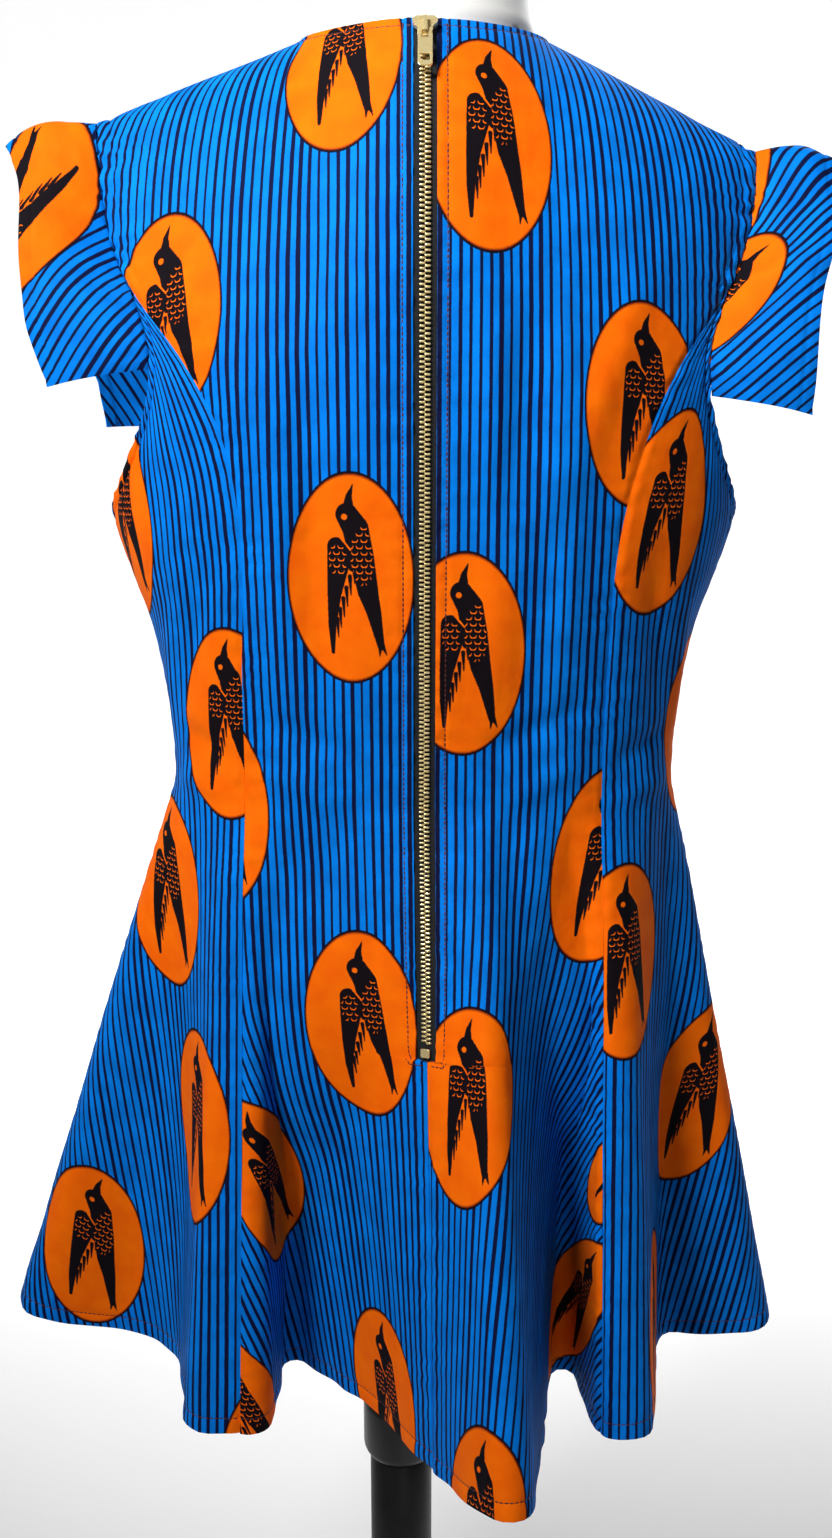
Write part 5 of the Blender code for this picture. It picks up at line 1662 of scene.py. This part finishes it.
def zip_line(surface, key):
    """Stitch line down beside the zip opening and square across below it, for one back panel."""
    fields = surface[2]
    column = int(np.argmin(np.abs(fields[key][-1] - ZIP_STITCH)))
    share, downs = (fields[field][::-1, column] for field in ("share", "down"))
    end = float(np.interp(ZIP_END_FRACTION, share, downs))
    foot = end + ZIP_STITCH_FOOT
    side = ZIP_HALF_OPENING + ZIP_STITCH
    beside = np.arange(downs[0] + ZIP_STITCH_TOP, end - ZIP_END_EASE, ZIP_LINE_STEP)
    path = [(ZIP_STITCH, down) for down in beside]
    path += [(side, down) for down in np.linspace(end + ZIP_END_EASE, foot, ZIP_END_STEPS)]
    below = np.linspace(side - ZIP_CORNER_EASE, ZIP_MIDDLE_EASE, ZIP_FOOT_STEPS)
    path += [(reach, foot) for reach in below]
    reads = [cloth_point(surface, key, reach, down) for reach, down in path]
    return np.array([point for point, _ in reads]), np.array([normal for _, normal in reads])


def row_line(surface, key, distance, columns=slice(None)):
    """Line across a panel at a distance from its hem or its top edge."""
    grid, normals, fields = surface
    edge = fields[key]
    row = int(np.argmin(np.abs(edge[:, edge.shape[1] // 2] - distance)))
    return grid[row, columns], normals[row, columns]


def build_stitching(surfaces):
    """Topstitching round the neck, beside the zip and round the hem."""
    stitches("hem_stitching", [row_line(surface, "hem", HEM_STITCH) for surface in surfaces.values()])
    neck = []
    for name in CENTRES:
        inside = np.abs(surfaces[name][0][-1, :, 0]) < NECK_HALF_WIDTH - NECK_LINE_EASE
        neck.append(row_line(surfaces[name], "top", NECK_STITCH, inside))
    stitches("neck_stitching", neck)
    stitches("zip_stitching", [zip_line(surfaces[name], key) for name, key in ZIP_EDGES])


# Dress form
FORM_DROP = 0.0023
FORM_BOTTOM_Z = 0.830
FORM_SIDE_POWER = 6.0
FORM_OVAL_MARGIN = 0.02
FORM_COLUMNS = 144
FORM_ROWS = 90

# Level sections of the form: height, half-width, back depth, front depth
FORM_SECTIONS = (
    (0.842, 0.149, 0.090, 0.090),
    (0.870, 0.150, 0.092, 0.095),
    (0.910, 0.146, 0.087, 0.093),
    (0.950, 0.1425, 0.080, 0.090),
    (0.995, 0.1420, 0.077, 0.092),
    (1.050, 0.1450, 0.080, 0.098),
    (1.110, 0.1500, 0.086, 0.110),
    (1.170, 0.1520, 0.091, 0.118),
    (1.230, 0.1480, 0.094, 0.112),
    (1.286, 0.1500, 0.095, 0.101),
    (1.325, 0.1560, 0.095, 0.086),
    (1.350, 0.1600, 0.094, 0.074),
    (1.400, 0.1600, 0.092, 0.058),
)
FORM_TOP_LEVEL = 1.3972

# The form's rounded underside: share of the lowest ring, and share of the way down
FORM_FOOT = ((0.70, 1.0), (0.93, 1.0), (0.965, 0.82), (0.985, 0.5), (0.996, 0.22))

# Rings of the form's neck: height, half-width, depth, middle from back to front
NECK_RINGS = (
    (1.402, 0.0600, 0.0520, -0.002),
    (1.408, 0.0585, 0.0510, 0.000),
    (1.422, 0.0560, 0.0500, 0.003),
    (1.440, 0.0550, 0.0505, 0.006),
    (1.462, 0.0545, 0.0500, 0.008),
    (1.4675, 0.0532, 0.0487, 0.008),
    (1.470, 0.0515, 0.0470, 0.008),
    (1.4725, 0.0485, 0.0442, 0.008),
    (1.474, 0.0450, 0.0410, 0.008),
    (1.474, 0.0250, 0.0230, 0.008),
)


def form_ring(z):
    """Ring of the dress form at height z: the dress's own section, inset and rounded at its sides."""
    half = np.linspace(0, math.pi / 2, FORM_COLUMNS // 4 + 1)
    quarters = []
    for front, side in ((False, 1), (True, 1), (True, -1), (False, -1)):
        slope = SHOULDER_SLOPE_LEFT if side < 0 else SHOULDER_SLOPE_RIGHT
        shoulder = NECK_HALF_WIDTH + (NECK_SIDE_Z - FORM_DROP - z) / slope
        width = min(float(table(FORM_SECTIONS, z, HALF_WIDTH)), shoulder)
        turn = half if front == (side < 0) else half[::-1]
        share = np.sin(turn)
        x = side * width * share
        depth = float(table(FORM_SECTIONS, z, FRONT_DEPTH if front else BACK_DEPTH))
        oval = float(table(FORM_SECTIONS, z, HALF_WIDTH)) + FORM_OVAL_MARGIN
        y = depth * (1 - (np.abs(x) / oval) ** OVAL_POWER) ** (1 / OVAL_POWER)
        y = roll_over(x, y if front else -y, z, FORM_DROP)
        middle = shoulder_y(x)
        y = middle + (y - middle) * np.sqrt(np.clip(1 - share ** FORM_SIDE_POWER, 0, 1))
        quarters.append(np.stack([x, y, np.full_like(x, z)], axis=1)[:-1])
    return np.concatenate(quarters)


def ellipse_ring(z, half_width, depth, middle):
    """Level ellipse with the same number of points as a form ring."""
    turn = np.linspace(0, 2 * math.pi, FORM_COLUMNS, endpoint=False) - math.pi / 2
    x, y = half_width * np.cos(turn), middle + depth * np.sin(turn)
    return np.stack([x, y, np.full_like(turn, z)], axis=1)


def build_form():
    """Limbless torso with a plain neck, closed at its underside and at its neck's top."""
    foot_z = FORM_SECTIONS[0][0]
    rings = [form_ring(z) for z in np.linspace(foot_z, FORM_TOP_LEVEL, FORM_ROWS)]
    rings += [ellipse_ring(*row) for row in NECK_RINGS]
    under = rings[0]
    middle = under.mean(axis=0)
    for share, drop in FORM_FOOT[::-1]:
        ring = middle + (under - middle) * share
        ring[:, 2] = foot_z - (foot_z - FORM_BOTTOM_Z) * drop
        rings.insert(0, ring)
    points = np.concatenate(rings)
    points[:, 0] += BODY_X
    piece = add_mesh("dress_form", points, tube_faces(len(rings), FORM_COLUMNS), FINISH["form"], sharp=70)
    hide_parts("form_torso")
    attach(piece, CLOTH_BODY)


# Stand
STAND_SEGMENTS = 120
POLE_RADIUS = 0.0215
POLE_EDGE = 0.0006
TUBE_RADIUS = 0.0160
TUBE_EDGE = 0.0004
COLLAR_RADIUS = 0.0260
COLLAR_ROUND = 0.008
ROUNDING_STEPS = 8

# Profile of the base plate: radius, height
BASE_PROFILE = (
    (0.1730, 0.0000),
    (0.1743, 0.0006),
    (0.1750, 0.0020),
    (0.1750, 0.0080),
    (0.1742, 0.0104),
    (0.1710, 0.0120),
    (0.0960, 0.0190),
    (0.0430, 0.0210),
    (0.0382, 0.0215),
    (0.0370, 0.0220),
)


def turned(name, node, profile):
    """Turned piece on the pole's axis: the profile of radius and height carried round it."""
    profile = np.array(profile)
    angle = np.linspace(0, 2 * math.pi, STAND_SEGMENTS, endpoint=False)
    x = profile[:, :1] * np.cos(angle)
    y = profile[:, :1] * np.sin(angle)
    points = np.stack([x, y, profile[:, 1:] + 0 * x], axis=-1).reshape(-1, 3)
    piece = add_mesh(name, points, tube_faces(len(profile), STAND_SEGMENTS), FINISH["stand"])
    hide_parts(node)
    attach(piece, CLOTH_BODY)


def straight(node, radius, edge):
    """Profile of a plain round bar between a node's lowest and highest points, with eased ends."""
    low, high = (float(corner[2]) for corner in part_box(node))
    return ((radius - edge, low), (radius, low + edge), (radius, high - edge), (radius - edge, high))


def build_stand():
    """Base, pole, clamp collar and inner tube with smooth turned surfaces."""
    turned("base_plate", "stand_base", BASE_PROFILE)
    turned("pole", "stand_pole", straight("stand_pole", POLE_RADIUS, POLE_EDGE))
    turned("inner_tube", "stand_tube", straight("stand_tube", TUBE_RADIUS, TUBE_EDGE))
    low, high = (float(corner[2]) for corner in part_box("stand_collar"))
    turn = np.linspace(0, math.pi / 2, ROUNDING_STEPS)
    radius = COLLAR_RADIUS - COLLAR_ROUND * (1 - np.sin(turn))
    rise = COLLAR_ROUND * (1 - np.cos(turn))
    foot = np.stack([radius, low + rise], axis=1)
    head = np.stack([radius, high - rise], axis=1)[::-1]
    turned("clamp_collar", "stand_collar", np.concatenate([foot, head]))


# Camera at the photo's viewpoint: 15 degrees down, level with the back
CAMERA_PLACE = (0.0105, -0.823, 1.217)
CAMERA_TILT = 75.0
CAMERA_LENS = 32.54

# Lights: name, place, aim, size across and down, watts, spread in degrees
LIGHTS = (
    ("key_window", (-0.75, -1.05, 2.25), (0.04, -0.05, 1.44), (0.5, 0.5), 10.0, 82.0),
    ("fill_window", (0.4, -2.8, 1.7), (0.0, 0.0, 1.0), (1.6, 1.6), 4.2, 180.0),
    ("front_wash", (1.0, 1.9, 2.3), (0.0, 0.0, 1.0), (1.8, 1.8), 40.0, 180.0),
)
WORLD_STRENGTH = 0.045

# Backdrop: a floor that sweeps up into a wall behind the stand
BACKDROP_HALF_WIDTH = 6.0
BACKDROP_FRONT = -5.0
BACKDROP_TURN = 2.2
BACKDROP_RADIUS = 1.4
BACKDROP_TOP = 5.0
BACKDROP_STEPS = 24


def build_stage():
    """Floor, lights, pale surroundings and the camera."""
    turn = np.linspace(0, math.pi / 2, BACKDROP_STEPS)
    y = np.concatenate([[BACKDROP_FRONT], BACKDROP_TURN + BACKDROP_RADIUS * np.sin(turn),
                        [BACKDROP_TURN + BACKDROP_RADIUS]])
    z = np.concatenate([[0.0], BACKDROP_RADIUS * (1 - np.cos(turn)), [BACKDROP_TOP]])
    sides = (BACKDROP_HALF_WIDTH, -BACKDROP_HALF_WIDTH)
    rows = [np.stack([np.full_like(y, x), y, z], axis=1) for x in sides]
    index = np.arange(2 * len(y)).reshape(2, len(y))
    floor = add_mesh("floor", np.concatenate(rows), quads(index), FINISH["floor"])
    for name, place, aim, size, watts, spread in LIGHTS:
        light = bpy.data.lights.new(name, "AREA")
        light.shape = "RECTANGLE"
        light.size, light.size_y = size
        light.energy = watts
        light.spread = math.radians(spread)
        lamp = bpy.data.objects.new(name, light)
        bpy.context.scene.collection.objects.link(lamp)
        lamp.location = place
        way = np.array(aim) - np.array(place)
        flat = math.hypot(way[0], way[1])
        lamp.rotation_euler = (math.atan2(flat, -way[2]), 0.0, math.atan2(-way[0], way[1]))
    world = bpy.data.worlds.new("studio")
    world.use_nodes = True
    world.node_tree.nodes["Background"].inputs["Color"].default_value = (1.0, 1.0, 1.0, 1.0)
    world.node_tree.nodes["Background"].inputs["Strength"].default_value = WORLD_STRENGTH
    bpy.context.scene.world = world
    data = bpy.data.cameras.new("camera")
    data.lens = CAMERA_LENS
    camera = bpy.data.objects.new("camera", data)
    bpy.context.scene.collection.objects.link(camera)
    camera.location = CAMERA_PLACE
    camera.rotation_euler = (math.radians(CAMERA_TILT), 0.0, 0.0)
    bpy.context.scene.camera = camera
    bpy.context.scene.view_settings.view_transform = "Standard"


build_form()
build_stand()
surfaces = build_panels()
for sleeve, sizes in SLEEVES.items():
    build_sleeve(sleeve, sizes)
build_tape()
build_teeth()
build_stitching(surfaces)
for node, name, body, edge in METAL:
    rounded_copy(node, name, body, FINISH["brass"], edge)
build_stage()
